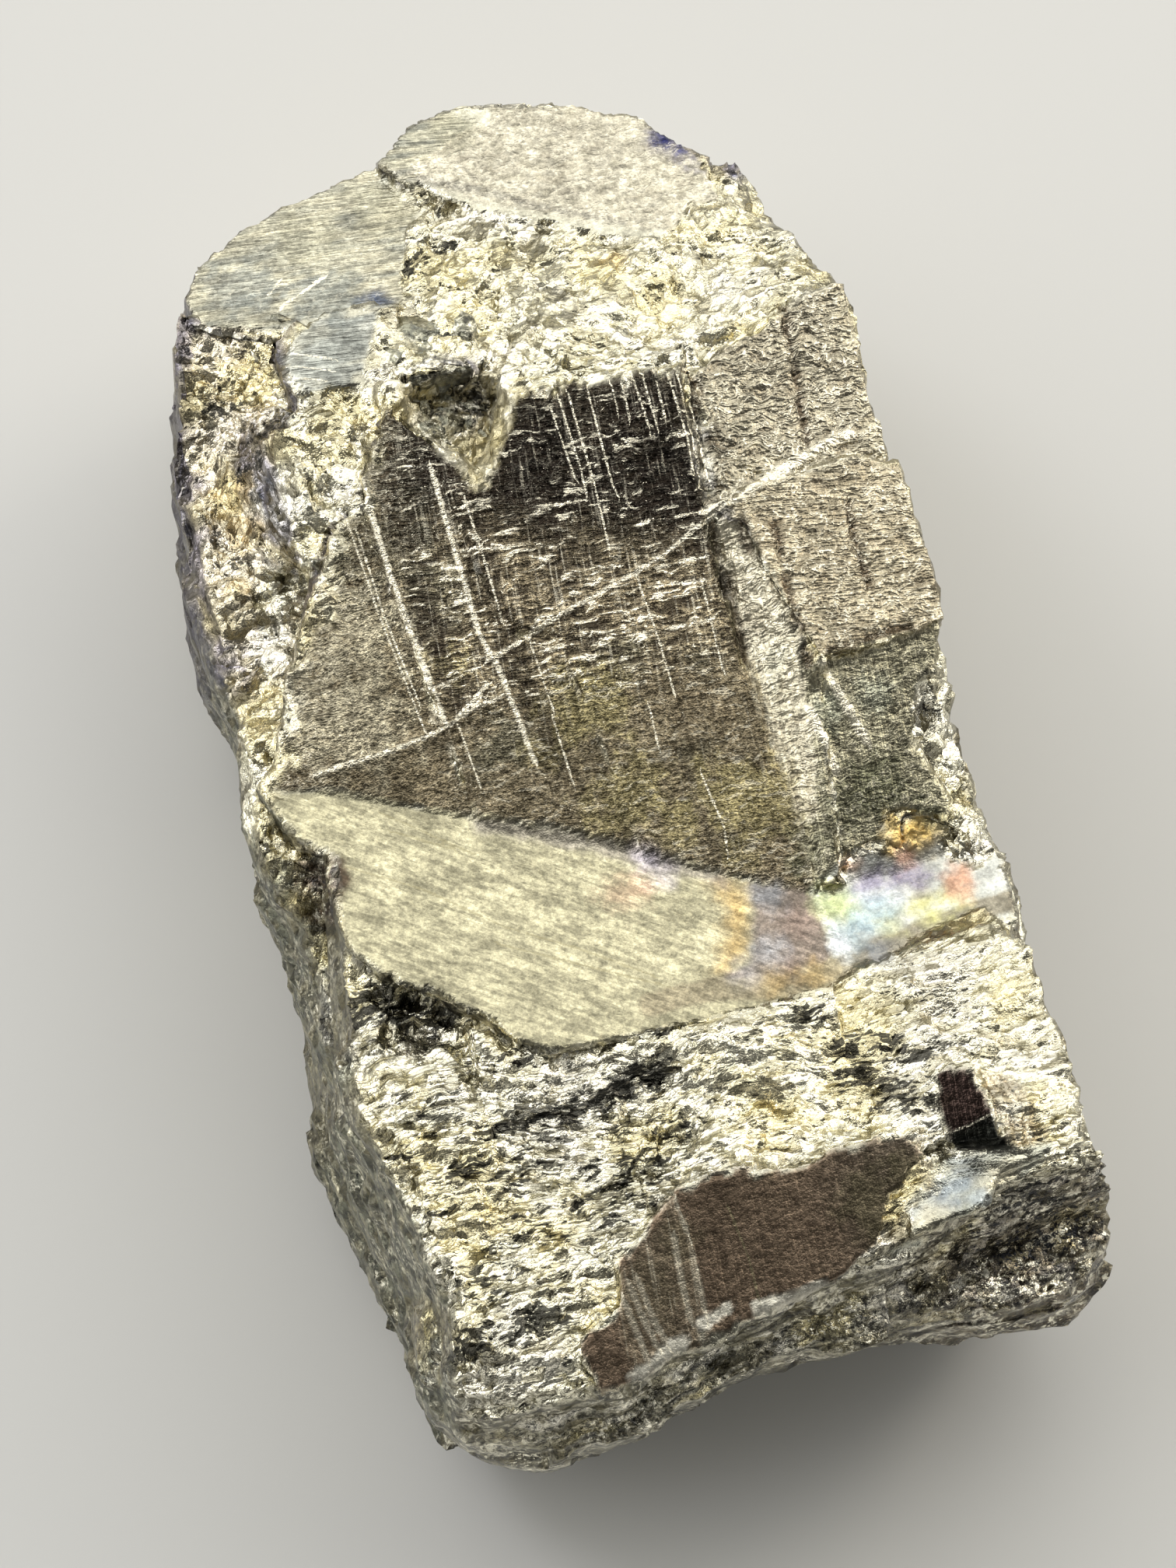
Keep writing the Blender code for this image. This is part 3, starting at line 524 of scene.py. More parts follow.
# The near end and the left side are worn: short light and dark flecks lie over each other; the light flecks are
# painted glints.
wear_and_glints = np.maximum(area["end"], (1 - front) * step(0.3, 0.6, -facing[:, 1]))
tint(wear_and_glints * step(4, 10, place[:, 0]) * 0.5, "6e5a4a")
tint(wear_and_glints * step(-0.06, -0.34, bands) * 0.75, "3a3a38")
tint(wear_and_glints * step(0.14, 0.36, bands) * 0.9, "fbf6e4")
edge_side = np.maximum(area["flank_left"], 1 - front) * (1 - wear_and_glints) * (1 - 0.7 * film)
tint(edge_side * step(0.12, 0.42, flecks) * 0.7, "dcd4b6")
tint(edge_side * step(-0.08, -0.38, flecks) * 0.7 * (1 - 0.4 * hidden), "464640")
streaks = cloudy(0.34, (9, 1, 1), shift=131.0) + 0.5 * cloudy(1.2, shift=141.0)
tint(on_band * step(0.05, 0.45, streaks) * 0.6, "ece4c6")
tint(on_band * step(-0.05, -0.45, streaks) * 0.6, "8c8f88")
tint(area["dome"] * crystal * step(0.15, 0.45, flecks) * 0.5, "fdf6e0")
tint(area["dome"] * crystal * step(-0.20, -0.45, flecks) * 0.5, "a09a84")
# Painted shade: the dark patches, hollows and crevices below are gathered here and darken the broken metal in
# the material.
shaded = np.zeros(count)
for kind, (code, patches) in PATCHES.items():
    spread = (1.7, 0.1) if "tarnish" in kind else (1.3, 0.5)
    wide, tall = (1.5, 0.75) if "dirt" in kind else (1, 1)
    for x, y, radius, strength in patches:
        reach = np.hypot((place[:, 0] - x) / wide, (place[:, 1] - y) / tall) / radius
        weight = strength * step(*spread, reach + blot + 0.45 * rows * area["main"])
        if kind in ("navy_tarnish", "violet_tarnish"):
            weight = weight * step(10.5, 13, place[:, 2] + ragged)
        else:
            weight = weight * step(0.2, 0.4, front)
        # Patches of painted shade go into the shade map and darken the colour a little.
        if "dirt" in kind:
            weight = weight * (1 - 0.9 * foil_edge_highlight)
            shaded = np.maximum(shaded, weight)
            tint(0.35 * weight, code)
        else:
            tint(weight, code)

# Steep little walls round the notch, over the column and at the steps between the faces are eased.
# First pits are filled: each one's middle, radius and floor.
for x, y, radius, floor in (
    (-3.1, 15.2, 2.0, 15.3),
    (-3.1, 13.8, 2.2, 15.4),
    (-9.0, 19.4, 1.4, 14.3),
    (-9.0, 10.6, 1.6, 15.5),
):
    near_pit = np.hypot(place[:, 0] - x, place[:, 1] - y) < radius
    place[near_pit, 2] = np.maximum(place[near_pit, 2], floor)
along_x, along_y = place[:, 0], place[:, 1]
above_notch = (np.hypot(along_x + 3.1, along_y - 17.4) < 2.2) & (along_y > 16.0)
place[above_notch, 2] = np.maximum(place[above_notch, 2], 15.8 + 0.42 * (18 - along_y[above_notch]))
notch_floor = (gap["notch"] > 0.35) & (along_y > 13.0)
place[notch_floor, 2] = np.minimum(place[notch_floor, 2], 15.5 + 0.5 * ragged[notch_floor])
# Then a little scree lies against each step: its top edge, its slope and where it lies.
for name, edge, slope, nearby in (
    ("raised", 17.35, 0.7, (along_x > 5.9) & (along_x < 8.9) & (along_y < 8.4)),
    ("green", 15.6, 0.25, (along_x > 7.8) & (along_x < 13) & (along_y < -5.0)),
    ("band", 14.2, 0.35, (along_x < -9.0) & (along_y < 21.6)),
    ("ledge", 18.9, 0.45, (along_x > -8.5) & (along_x < 5.5) & (along_y < -8.5)),
):
    slopes = nearby & (gap[name] < 0.6) & (place[:, 2] > 10)
    top = np.minimum(edge, edge + slope * gap[name][slopes]) + 0.05 * ragged[slopes]
    place[slopes, 2] = np.maximum(place[slopes, 2], top)
# Last, corners are worn blunt: each one's middle and radius.
blunt = np.stack([softened(place[:, k], 40) for k in range(3)], axis=1)
for x, y, radius in (
    (-3.2, 17.3, 1.3), (-4.5, 14.7, 1.0), (-3.5, 12.7, 0.9), (-9.6, 19.4, 1.8), (-8.3, 11.4, 1.4),
    (6.2, 7.6, 0.9), (7.6, 0.8, 1.0), (8.6, -6.4, 0.8), (10.6, -5.6, 0.8), (-1.5, 22.6, 1.0),
    (-1.6, 25.4, 1.3), (0.6, 24.2, 0.8), (-11.6, 20.9, 1.4),
):
    weight = step(1.0, 0.4, np.hypot(place[:, 0] - x, place[:, 1] - y) / radius) * front
    place += weight[:, None] * (blunt - place)

# The upper right of the large face is burnished, free of film, and mirrors the dark; its colour is also painted
# near black as a painted dark reflection.
burnished_painted_dark = area["main"] * crystal * (1 - foil_edge_highlight) * step(6.0, 10.0, place[:, 1] + 0.8 * rows + 0.35
    * place[:, 0]) * step(-7.5, -5.0, place[:, 0])
tint(burnished_painted_dark * 0.93, "181412")

# Painted shadows run beside the ridges of the large face.
RIDGE_SHADOWS = [
    [(-6.5, 12.6), (-6.3, 9.5), (-6.0, 6.0), (-5.5, 2.6)],
    [(-3.8, 12.0), (-3.5, 8.0), (-3.2, 5.0), (-2.8, 2.2), (-2.5, -0.5)],
    [(-0.5, 9.5), (-0.3, 6.5), (0.0, 3.5)],
]
tint(step(0.75, 0.25, np.abs(beside(RIDGE_SHADOWS)) + 0.25 * ragged + 0.25 * rows) * area["main"] * crystal * 0.55,
    "332c24")

# Relief of the broken parts: chips a millimetre and less across, drawn out along X in the lower block.
foil = step(-1.5, 1.0, place[:, 0] + 0.9 * ragged) * step(-19.5, -17.5, place[:, 1])
lower = area["lower"] * (1 - crystal)
foil = np.maximum(foil * area["lower"], area["rippled"])
crystal = np.maximum(crystal, 0.9 * area["flank"])
crystal *= 1 - np.maximum(rim_flake_highlights, np.maximum(foil_edge_highlight, shards))
broken = (1 - crystal) * (1 - 0.7 * area["pale"]) * (1 - area["corner"]) * (1 - 0.85 * rim_flake_highlights) * (1 - 0.2
    * shards)
outer = 1 - front
unseen = step(-0.1, 0.4, np.maximum(facing[:, 0], facing[:, 1])) * outer
big = chips(2.2)
small = chips(0.8, shift=11.0)
shelves = chips(0.9, (2.4, 0.9, 1.2), shift=5.0)
splinters = chips(0.5, (2.4, 0.8, 1.2), shift=17.0)
ripple = np.array([noise.ridged_multi_fractal(Vector((p[0] / 2.2 - 4, p[1] / 0.8, p[2])), 0.9, 2.1, 3, 0.9,
    2.0) for p in place])
rough = 0.34 * big + 0.16 * small
torn = 0.20 * big + 0.24 * shelves + 0.16 * splinters
calm = 1 - 0.6 * np.maximum(area["end"], area["flank_left"])
height = broken * front * calm * (1 - 0.3 * foil) * ((1 - lower) * rough + lower * torn)
height += broken * outer * (0.26 * chips(5.5, shift=29.0) + 0.20 * big + 0.10 * small)
height += 0.10 * area["rippled"] * broken * (ripple - 1)
height += crystal * (0.03 * small * (area["raised"] + area["upper_right"] + area["flank"]) + 0.02 * big)

# Lines on the faces, each as points in millimetres seen from above: ridges and growth lines run up the
# large face, cross lines lie over them, and one old crack has grown together again.
RIDGES = [
    [(-4.6, 12.1), (-4.4, 8.4), (-4.2, 5.2), (-4.0, 4.4), (-3.8, 3.8), (-3.5, 2.0), (-3.2, -0.3)],
    [(-7.4, 12.4), (-7.3, 10.4), (-7.1, 8.0), (-6.7, 5.0), (-6.4, 2.8), (-6.3, 2.0)],
]
GROWTH_LINES = [
    [(-8.3, 10.8), (-7.9, 7.0), (-7.6, 5.0), (-7.1, 1.8)],
    [(-8.0, 10.2), (-7.7, 6.8), (-7.1, 3.0)],
    [(-4.6, 12.1), (-4.4, 8.4), (-4.2, 5.2), (-4.0, 4.4)],
    [(-3.6, 10.6), (-3.4, 8.3), (-3.2, 5.4)],
    [(-2.3, 4.4), (-2.0, 1.4)],
    [(-3.8, 3.8), (-3.5, 2.0), (-3.2, -0.3)],
    [(-2.1, 1.3), (-1.9, -1.5)],
    [(-5.8, 1.7), (-5.5, -0.8)],
    [(2.4, 6.1), (2.7, 3.2), (2.8, 1.1)],
    [(4.9, 5.2), (4.9, 2.5), (4.9, 1.6)],
    [(3.1, -2.2), (3.5, -4.5), (3.4, -5.6)],
    [(1.7, 0.8), (1.7, -0.9)],
    [(0.6, 13.3), (0.9, 10.4)],
    [(1.0, 13.7), (1.2, 10.9), (1.2, 9.7)],
    [(1.4, 13.9), (1.6, 10.2), (1.6, 7.3)],
    [(2.2, 13.8), (2.3, 9.9), (2.4, 9.4)],
    [(3.2, 13.8), (3.2, 12.7)],
    [(3.6, 13.9), (3.6, 12.3)],
    [(4.1, 13.9), (4.3, 11.6)],
    [(4.5, 13.9), (4.6, 11.7)],
    [(5.0, 13.9), (5.0, 12.0)],
    [(5.5, 13.9), (5.7, 11.0), (5.6, 9.8)],
    [(5.9, 13.6), (5.9, 10.0), (5.7, 8.8)],
    [(6.2, 13.0), (6.2, 9.4)],
    [(8.6, -18.5), (9.5, -18.4), (10.3, -18.2)],
    [(-4.4, -21.3), (-4.2, -22.7), (-3.8, -24.2)],
    [(-4.75, -21.4), (-4.5, -23.0), (-4.1, -24.3)],
    [(-5.1, -21.9), (-4.85, -23.4), (-4.7, -24.5)],
    [(-2.3, -18.7), (-2.1, -20.4), (-2.2, -23.5)],
    [(-2.7, -20.0), (-2.8, -21.6), (-2.8, -23.2)],
    [(10.5, -16.7), (10.9, -17.9), (10.8, -19.2)],
    [(10.9, -16.8), (11.5, -18.0), (11.2, -19.3)],
    [(11.4, -17.0), (11.8, -18.1), (11.7, -19.3)],
    [(-8.8, 18.4), (-7.3, 17.8)],
    [(-8.9, 17.8), (-7.5, 17.3)],
    [(-9.1, 17.3), (-7.9, 16.9)],
]
CROSS_LINES = [
    [(-4.5, 15.6), (-3.4, 15.2), (-2.4, 15.5)],
    [(-4.0, 14.6), (-3.3, 14.8), (-2.2, 14.4)],
    [(-3.5, 13.6), (-2.6, 13.8), (-1.9, 13.6)],
    [(-2.9, 12.8), (-2.2, 13.0)],
    [(-3.7, 10.2), (-2.7, 10.3), (-1.4, 10.5)],
    [(-2.9, 9.2), (-0.7, 9.5), (1.0, 9.5)],
    [(-4.3, 8.6), (-2.8, 8.3), (-1.3, 8.3)],
    [(-1.9, 8.0), (0.1, 7.9), (2.1, 7.9), (3.4, 8.1)],
    [(3.3, 11.5), (4.5, 11.3), (5.7, 11.3)],
    [(0.3, 11.8), (2.0, 11.5)],
    [(-1.5, 6.7), (0.1, 6.7), (1.8, 6.6)],
    [(3.3, 6.2), (5.2, 6.2)],
    [(2.9, 5.5), (5.0, 5.3)],
    [(0.6, 3.8), (2.9, 3.7), (4.8, 3.7)],
    [(-1.2, 2.8), (-0.1, 2.9), (2.2, 2.9)],
    [(-2.0, 3.9), (-0.4, 3.9)],
    [(-6.0, 10.1), (-5.3, 10.0), (-5.1, 9.5)],
    [(-7.1, 12.3), (-6.2, 12.4), (-5.5, 12.4)],
    [(-5.7, 8.4), (-4.4, 7.9)],
    [(-6.4, 3.4), (-4.6, 3.8)],
    [(-1.7, 2.7), (-0.4, 2.7)],
    [(0.4, 2.0), (1.8, 1.8)],
    [(-9.2, 20.6), (-8.3, 21.3), (-7.5, 21.7), (-6.6, 22.2)],
    [(-9.6, 21.1), (-8.4, 22.5)],
]
HEALED_CRACKS = [
    [(5.9, 7.8), (3.8, 6.7), (2.5, 6.2), (0.6, 5.6), (-0.5, 5.3), (-2.4, 4.6), (-4.1, 4.0)],
    [(-3.9, 2.5), (-5.0, 2.3), (-6.3, 1.8), (-8.5, 1.4), (-11.7, 1.1)],
    [(-4.3, 3.1), (-5.7, 2.1)],
]
STEP_EDGES = [
    [(5.7, 8.0), (7.1, 8.2), (9.4, 9.3), (11.6, 10.1), (12.4, 10.3)],
    [(8.8, 0.9), (9.4, -0.7), (9.9, -2.4)],
    [(7.9, -0.8), (8.4, -3.2)],
]
GROOVES = [
    [(11.1, 16.1), (10.9, 13.6), (10.7, 10.9), (10.6, 10.0)],
    [(8.3, 7.0), (8.1, 4.2), (8.2, 1.0)],
    [(8.2, 1.3), (9.7, 1.4), (11.9, 1.7), (13.0, 1.7)],
    [(6.4, 14.1), (6.8, 13.0)],
    [(6.9, 7.2), (7.0, 6.1)],
    [(11.4, 7.3), (11.3, 5.3), (11.4, 3.6)],
    [(5.9, 7.4), (6.0, 5.0), (6.0, 1.8)],
]
CREVICES = [
    [(-8.9, -14.5), (-7.8, -14.55), (-6.6, -14.7), (-5.4, -14.7), (-3.9, -14.4), (-2.6, -13.9)],
    [(-3.6, 21.3), (-2.9, 22.0), (-2.4, 22.4), (-1.0, 22.5)],
]
LEDGE_SCRATCHES = [
    [(-0.4, -19.5), (-0.1, -21.5), (-0.1, -23.0)],
    [(-6.5, -7.6), (-3.4, -9.2), (-0.5, -10.7)],
    [(-9.5, -1.0), (-6.4, -3.5)],
    [(-11.3, -3.2), (-8.7, -4.7), (-6.1, -6.9), (-3.5, -8.4), (-1.0, -10.1)],
    [(-9.3, -1.9), (-7.2, -3.1)],
]
groove = np.abs(beside(GROOVES)) + 0.08 * ragged
crevice = np.abs(beside(CREVICES)) + 0.10 * ragged
height -= 0.16 * step(0.26, 0.05, groove) + 0.14 * step(0.30, 0.05, crevice) * broken
store_lines("ridge", RIDGES)
for part in range(3):
    store_lines(f"line_{part}", GROWTH_LINES[part::3])
store_lines("cross", CROSS_LINES)
store_lines("crack", HEALED_CRACKS)
store_lines("edge", STEP_EDGES)
store_lines("scratch", LEDGE_SCRATCHES)
for raised_lines, rise in ((RIDGES, 0.07), (HEALED_CRACKS, 0.05), (STEP_EDGES, 0.08)):
    height += rise * step(0.26, 0.05, np.abs(beside(raised_lines)) + 0.08 * ragged) * front
# Hollows in the relief of the breaks get painted shade.
hollow = softened(height, 6) - softened(height, 1)
shaded = np.maximum(shaded, broken * front * step(0.06, 0.18, hollow) * 0.4)
# Grooves are painted dark brown as painted shade, and crevices get painted shade too.
tint(step(0.24, 0.05, groove + 0.12 * ragged) * 0.85, "4c3b2c")
shaded = np.maximum(shaded, step(0.42, 0.12, crevice + 0.15 * ragged) * broken)

# What the material reads at each point, from 0 to 1.
on_face = {name: area[name] * crystal for name in FACES}


def on_faces(**weights):
    """How far a finish covers each point, from the weight that each face gives it."""
    return sum(weight * on_face[name] for name, weight in weights.items())


away_from_shore = step(-7.6, -5.6, place[:, 0] + 0.6 * ragged)
lined = on_face["main"] * away_from_shore * np.maximum(0.3, step(0.5, 3.5, place[:, 1] + 0.8 * ragged))
upright = 0.5 * lined + on_faces(main=0.3, brown=0.5, green=1, chipped=1, flank=0.7, upper_right=0.3)
level = 0.6 * lined + on_faces(main=0.15, band=1, grey=1, raised=0.8)
wrinkled = on_faces(raised=1, upper_right=1, flank=0.8, dome=0.5, green=0.35, band=0.3, tarnished=0.15)
wrinkled += on_face["main"] * (0.08 + 0.8 * step(3.2, 0.3, shore_gap + 0.8 * ragged))
dusty = step(3.2, 1.5, np.hypot(place[:, 0] + 9.9, place[:, 1] - 4.8))
dusty = np.clip(dusty + step(4, -1, place[:, 1]) * on_face["main"], 0, 1)
dull = on_face["main"] * (0.5 * dusty + 0.15 * (1 - burnished_painted_dark)) + outer * (0.5 - 0.25 * unseen)
dull += on_faces(ledge=0.75, dome=0.75, tarnished=0.975, flank=0.7, band=0.5, grey=0.5, brown=0.45)
dull += on_faces(raised=0.35, upper_right=0.35, green=0.35)
dull += 0.6 * area["notch"] + 1.375 * rim_flake_highlights + shards + 0.9 * foil_edge_highlight
for name, values in (
    ("broken", broken), ("lower", lower), ("foil", foil), ("main", on_face["main"]),
    ("ledge", on_face["ledge"]), ("lined", lined * (1 - 0.4 * burnished_painted_dark)), ("upright", upright),
    ("level", level), ("striped", np.maximum(area["striped"] * on_face["brown"], area["fan"])),
    ("wrinkled", wrinkled), ("shaded", shaded), ("dull", dull), ("front", front),
    ("wear_and_glints", np.maximum(wear_and_glints, 0.75 * edge_side)),
    ("grainy", on_faces(main=1, raised=0.3, upper_right=0.3, green=0.3, dome=0.25, ledge=0.25)),
):
    store(name, np.clip(values, 0, 1))
colours = mesh.color_attributes.new("tone", "FLOAT_COLOR", "POINT")
colours.data.foreach_set("color", np.hstack([tone, np.ones((count, 1))]).astype(np.float32).ravel())

low, high = np.array(cad_box[0]) / MM, np.array(cad_box[1]) / MM
place = np.clip(place + facing * height[:, None], low, high)
mesh.vertices.foreach_set("co", (place * MM).ravel())
for name, size, reach in (("drift", 6.0, 1.8), ("bend", 0.6, 0.24)):
    shift = np.array([noise.noise_vector(Vector(p) / size) for p in place]) * reach * MM
    layer = mesh.attributes.new(name, "FLOAT_VECTOR", "POINT")
    layer.data.foreach_set("vector", shift.astype(np.float32).ravel())
mesh.update()
bpy.ops.object.shade_smooth()

# Pyrite: an opaque metallic sulphide. Fresh breaks reflect pale brass, with a crumpled grain of a third
# of a millimetre. Crystal faces are finely lined.
pyrite = bpy.data.materials.new("pyrite")
pyrite.use_nodes = True
tree = pyrite.node_tree
shader = tree.nodes["Principled BSDF"]
shader.inputs["Metallic"].default_value = 1.0
position = node(tree, "TexCoord", output="Object")


STORED = ["broken", "main", "ledge", "lower", "foil", "lined", "shaded", "front", "grainy", "wear_and_glints"]
STORED += ["upright", "level", "striped", "wrinkled", "dull"]
for name in ("line_0", "line_1", "line_2", "cross", "crack", "ridge", "edge", "scratch"):
    STORED += [f"{name}_gap", f"{name}_near"]
stored = {name: node(tree, "Attribute", output="Fac", attribute_name=name) for name in STORED}


def grain(scale, stretch=(1, 1, 1), detail=3, roughness=0.6, turn=0):
    """Noise with features of about scale millimetres, drawn out by stretch and turned in degrees."""
    reach = tuple(scale * MM * s for s in stretch)
    at = node(tree, "Mapping", {
        "Vector": position, "Rotation": (0, 0, radians(turn)), "Scale": reach,
    }, vector_type="TEXTURE")
    return node(tree, "TexNoise", {"Vector": at, "Scale": 1.0, "Detail": detail, "Roughness": roughness}, "Fac")


bent = node(tree, "VectorMath", [
    position, node(tree, "Attribute", output="Vector", attribute_name="bend"),
], operation="ADD")
swayed = node(tree, "VectorMath", [
    bent, node(tree, "Attribute", output="Vector", attribute_name="drift"),
], operation="ADD")


is_broken, is_ledge, is_foil, is_front = (stored[name] for name in ("broken", "ledge", "foil", "front"))
is_wear_and_glints, lined, shaded_here = (stored[name] for name in ("wear_and_glints", "lined", "shaded"))
grainy, striped, wrinkled = (stored[name] for name in ("grainy", "striped", "wrinkled"))
in_rows = node(tree, "Math", [stored["lower"], 0.5], operation="GREATER_THAN")


def flakes(size, row_size, stretch, row_stretch):
    """Flakes like shingles, drawn out in rows on the lower block.

    Gives their height in mm, a crescent under each one for a painted shadow, a number for each and the distance
    to the seams.
    """
    plain = node(tree, "Mapping", {"Vector": swayed, "Scale": tuple((1 / (size * MM * s) for s in stretch))})
    drawn_out = node(tree, "Mapping", {
        "Vector": swayed, "Scale": tuple((1 / (row_size * MM * s) for s in row_stretch)),
    })
    mapped = node(tree, "Mix", {0: in_rows, 6: plain, 7: drawn_out}, 2, data_type="RGBA")
    _, cell, centre, *_ = node(tree, "TexVoronoi", {"Vector": mapped, "Scale": 1.0}).node.outputs
    lean = node(tree, "CombineXYZ", {
        "Y": node(tree, "MapRange", [in_rows, 0, 1, 0.57, 0.86], interpolation_type="SMOOTHSTEP"), "X": 0.5,
        "Z": 0.5,
    })
    tilt = node(tree, "VectorMath", [cell, lean], operation="SUBTRACT")
    offset = node(tree, "VectorMath", [mapped, centre], operation="SUBTRACT")
    seams = node(tree, "TexVoronoi", {"Vector": mapped, "Scale": 1.0}, "Distance", feature="DISTANCE_TO_EDGE")
    height = node(tree, "VectorMath", [offset, tilt], "Value", operation="DOT_PRODUCT")
    along = node(tree, "SeparateXYZ", {"Vector": offset}, "Y")
    number = node(tree, "SeparateColor", {"Color": cell}, "Blue")
    crescent = node(tree, "Math", [
        node(tree, "MapRange", [along, -0.06, -0.3], interpolation_type="SMOOTHSTEP"),
        node(tree, "MapRange", [seams, 0.22, 0.06], interpolation_type="SMOOTHSTEP"),
    ], operation="MULTIPLY")
    thickness = node(tree, "MapRange", [
        in_rows, 0, 1, size * stretch[1], row_size * row_stretch[1],
    ], interpolation_type="SMOOTHSTEP")
    return (node(tree, "Math", [height, thickness], operation="MULTIPLY"), crescent, number, seams)


grit = grain(0.11, detail=2, roughness=0.7)
fine = grain(0.30, detail=3, roughness=0.75)
mottle = grain(1.8, detail=3, roughness=0.68)
hue = grain(3.2, detail=1, roughness=0.6)
streak = grain(0.34, (6, 1, 1), detail=3, roughness=0.7, turn=-36)
big = flakes(0.68, 0.42, (1.15, 0.95, 1.0), (2.3, 0.75, 1.0))
small = flakes(0.26, 0.20, (1.2, 0.95, 1.0), (2.4, 0.8, 1.0))
tall = node(tree, "Math", [
    node(tree, "Math", [big[0], 0.75], operation="MULTIPLY"),
    node(tree, "Math", [small[0], 0.65], operation="MULTIPLY"),
], operation="ADD")
crescent = node(tree, "Math", [
    big[1], node(tree, "Math", [small[1], 0.85], operation="MULTIPLY"),
], operation="MAXIMUM")
each = big[2]
cross_lines = grain(0.12, (12, 1, 2), detail=2, roughness=0.65, turn=-6)
on_face = node(tree, "Mapping", {"Vector": bent, "Scale": (1 / (1.32 * MM), 1 / (0.24 * MM), 1 / (0.24 * MM))})
on_folds = node(tree, "Mapping", {"Vector": bent, "Scale": (1 / (1.25 * MM), 1 / (0.62 * MM), 1 / (0.9 * MM))})
on_face = node(tree, "Mix", {
    0: node(tree, "Math", [stored["main"], 0.5], operation="GREATER_THAN"), 6: on_folds, 7: on_face,
}, 2, data_type="RGBA")
on_break = node(tree, "Mapping", {"Vector": bent, "Scale": (1 / (0.75 * MM), 1 / (0.2 * MM), 1 / (0.3 * MM))})
waves = node(tree, "TexNoise", {
    "Vector": node(tree, "Mix", {0: in_rows, 6: on_face, 7: on_break}, 2, data_type="RGBA"), "Scale": 1.0,
    "Detail": 3, "Roughness": 0.62,
}, "Fac")
long_lines = grain(0.15, (1, 26, 2), detail=2, roughness=0.6, turn=-3)

# Colour: flat faces are speckled and lined, fresh breaks go from gold to grey, with painted shadow crescents
# under the flakes and painted shade in dark flecks.
tone_colour = node(tree, "Attribute", output="Color", attribute_name="tone")
speckle = node(tree, "Math", [
    node(tree, "MapRange", [mottle, 0.28, 0.72, 0.72, 1.25], interpolation_type="SMOOTHSTEP"),
    node(tree, "Math", [
        node(tree, "MapRange", [fine, 0.28, 0.72, 0.74, 1.26], interpolation_type="SMOOTHSTEP"),
        node(tree, "Math", [
            grainy, node(tree, "MapRange", [fine, 0.3, 0.7, -0.3, 0.42], interpolation_type="SMOOTHSTEP"),
        ], operation="MULTIPLY"),
    ], operation="ADD"),
], operation="MULTIPLY")
speckle = node(tree, "Math", [
    speckle,
    node(tree, "Math", [
        node(tree, "MapRange", [grit, 0.3, 0.7, 0.9, 1.12], interpolation_type="SMOOTHSTEP"),
        node(tree, "Math", [
            grainy, node(tree, "MapRange", [grit, 0.28, 0.72, -0.3, 0.34], interpolation_type="SMOOTHSTEP"),
        ], operation="MULTIPLY"),
    ], operation="ADD"),
], operation="MULTIPLY")
for where, drawn_lines, low, high in (
    (stored["level"], cross_lines, 0.80, 1.36),
    (stored["upright"], long_lines, 0.84, 1.26),
    (is_ledge, streak, 0.78, 1.30),
):
    lining = node(tree, "Math", [
        where, node(tree, "MapRange", [drawn_lines, 0.35, 0.65], interpolation_type="SMOOTHSTEP"),
    ], operation="MULTIPLY")
    speckle = node(tree, "Math", [
        speckle, node(tree, "MapRange", [lining, 0.0, 1.0, low, high], interpolation_type="SMOOTHSTEP"),
    ], operation="MULTIPLY")
shade = node(tree, "CombineColor", {"Red": speckle, "Green": speckle, "Blue": speckle})
face_colour = node(tree, "Mix", {0: 1.0, 6: tone_colour, 7: shade}, 2, data_type="RGBA", blend_type="MULTIPLY")
crescent_shadow_depth = node(tree, "Math", [
    node(tree, "MapRange", [in_rows, 0, 1, 0.6, 0.85], interpolation_type="SMOOTHSTEP"),
    node(tree, "MapRange", [is_foil, 0, 1, 1.0, 0.55], interpolation_type="SMOOTHSTEP"),
], operation="MULTIPLY")
crescent_shadow = node(tree, "Math", [
    node(tree, "MapRange", [mottle, 0.3, 0.6, 0.5, 0.95], interpolation_type="SMOOTHSTEP"),
    node(tree, "Math", [crescent_shadow_depth, shaded_here], operation="MAXIMUM"),
], operation="MULTIPLY")
pattern = node(tree, "Mix", {0: in_rows, 6: fine, 7: waves}, 2, data_type="RGBA")
painted_shade_level = node(tree, "Math", [
    node(tree, "Math", [shaded_here, 0.24], operation="MULTIPLY"),
    node(tree, "Math", [node(tree, "Math", [mottle, 0.5], operation="SUBTRACT"), 0.22], operation="MULTIPLY"),
], operation="ADD")
painted_shade_level = node(tree, "Math", [
    node(tree, "Math", [
        painted_shade_level, node(tree, "Math", [is_foil, 0.024], operation="MULTIPLY"),
    ], operation="SUBTRACT"),
    node(tree, "MapRange", [in_rows, 0, 1, 0.342, 0.372], interpolation_type="SMOOTHSTEP"),
], operation="ADD")
fresh = tone_colour
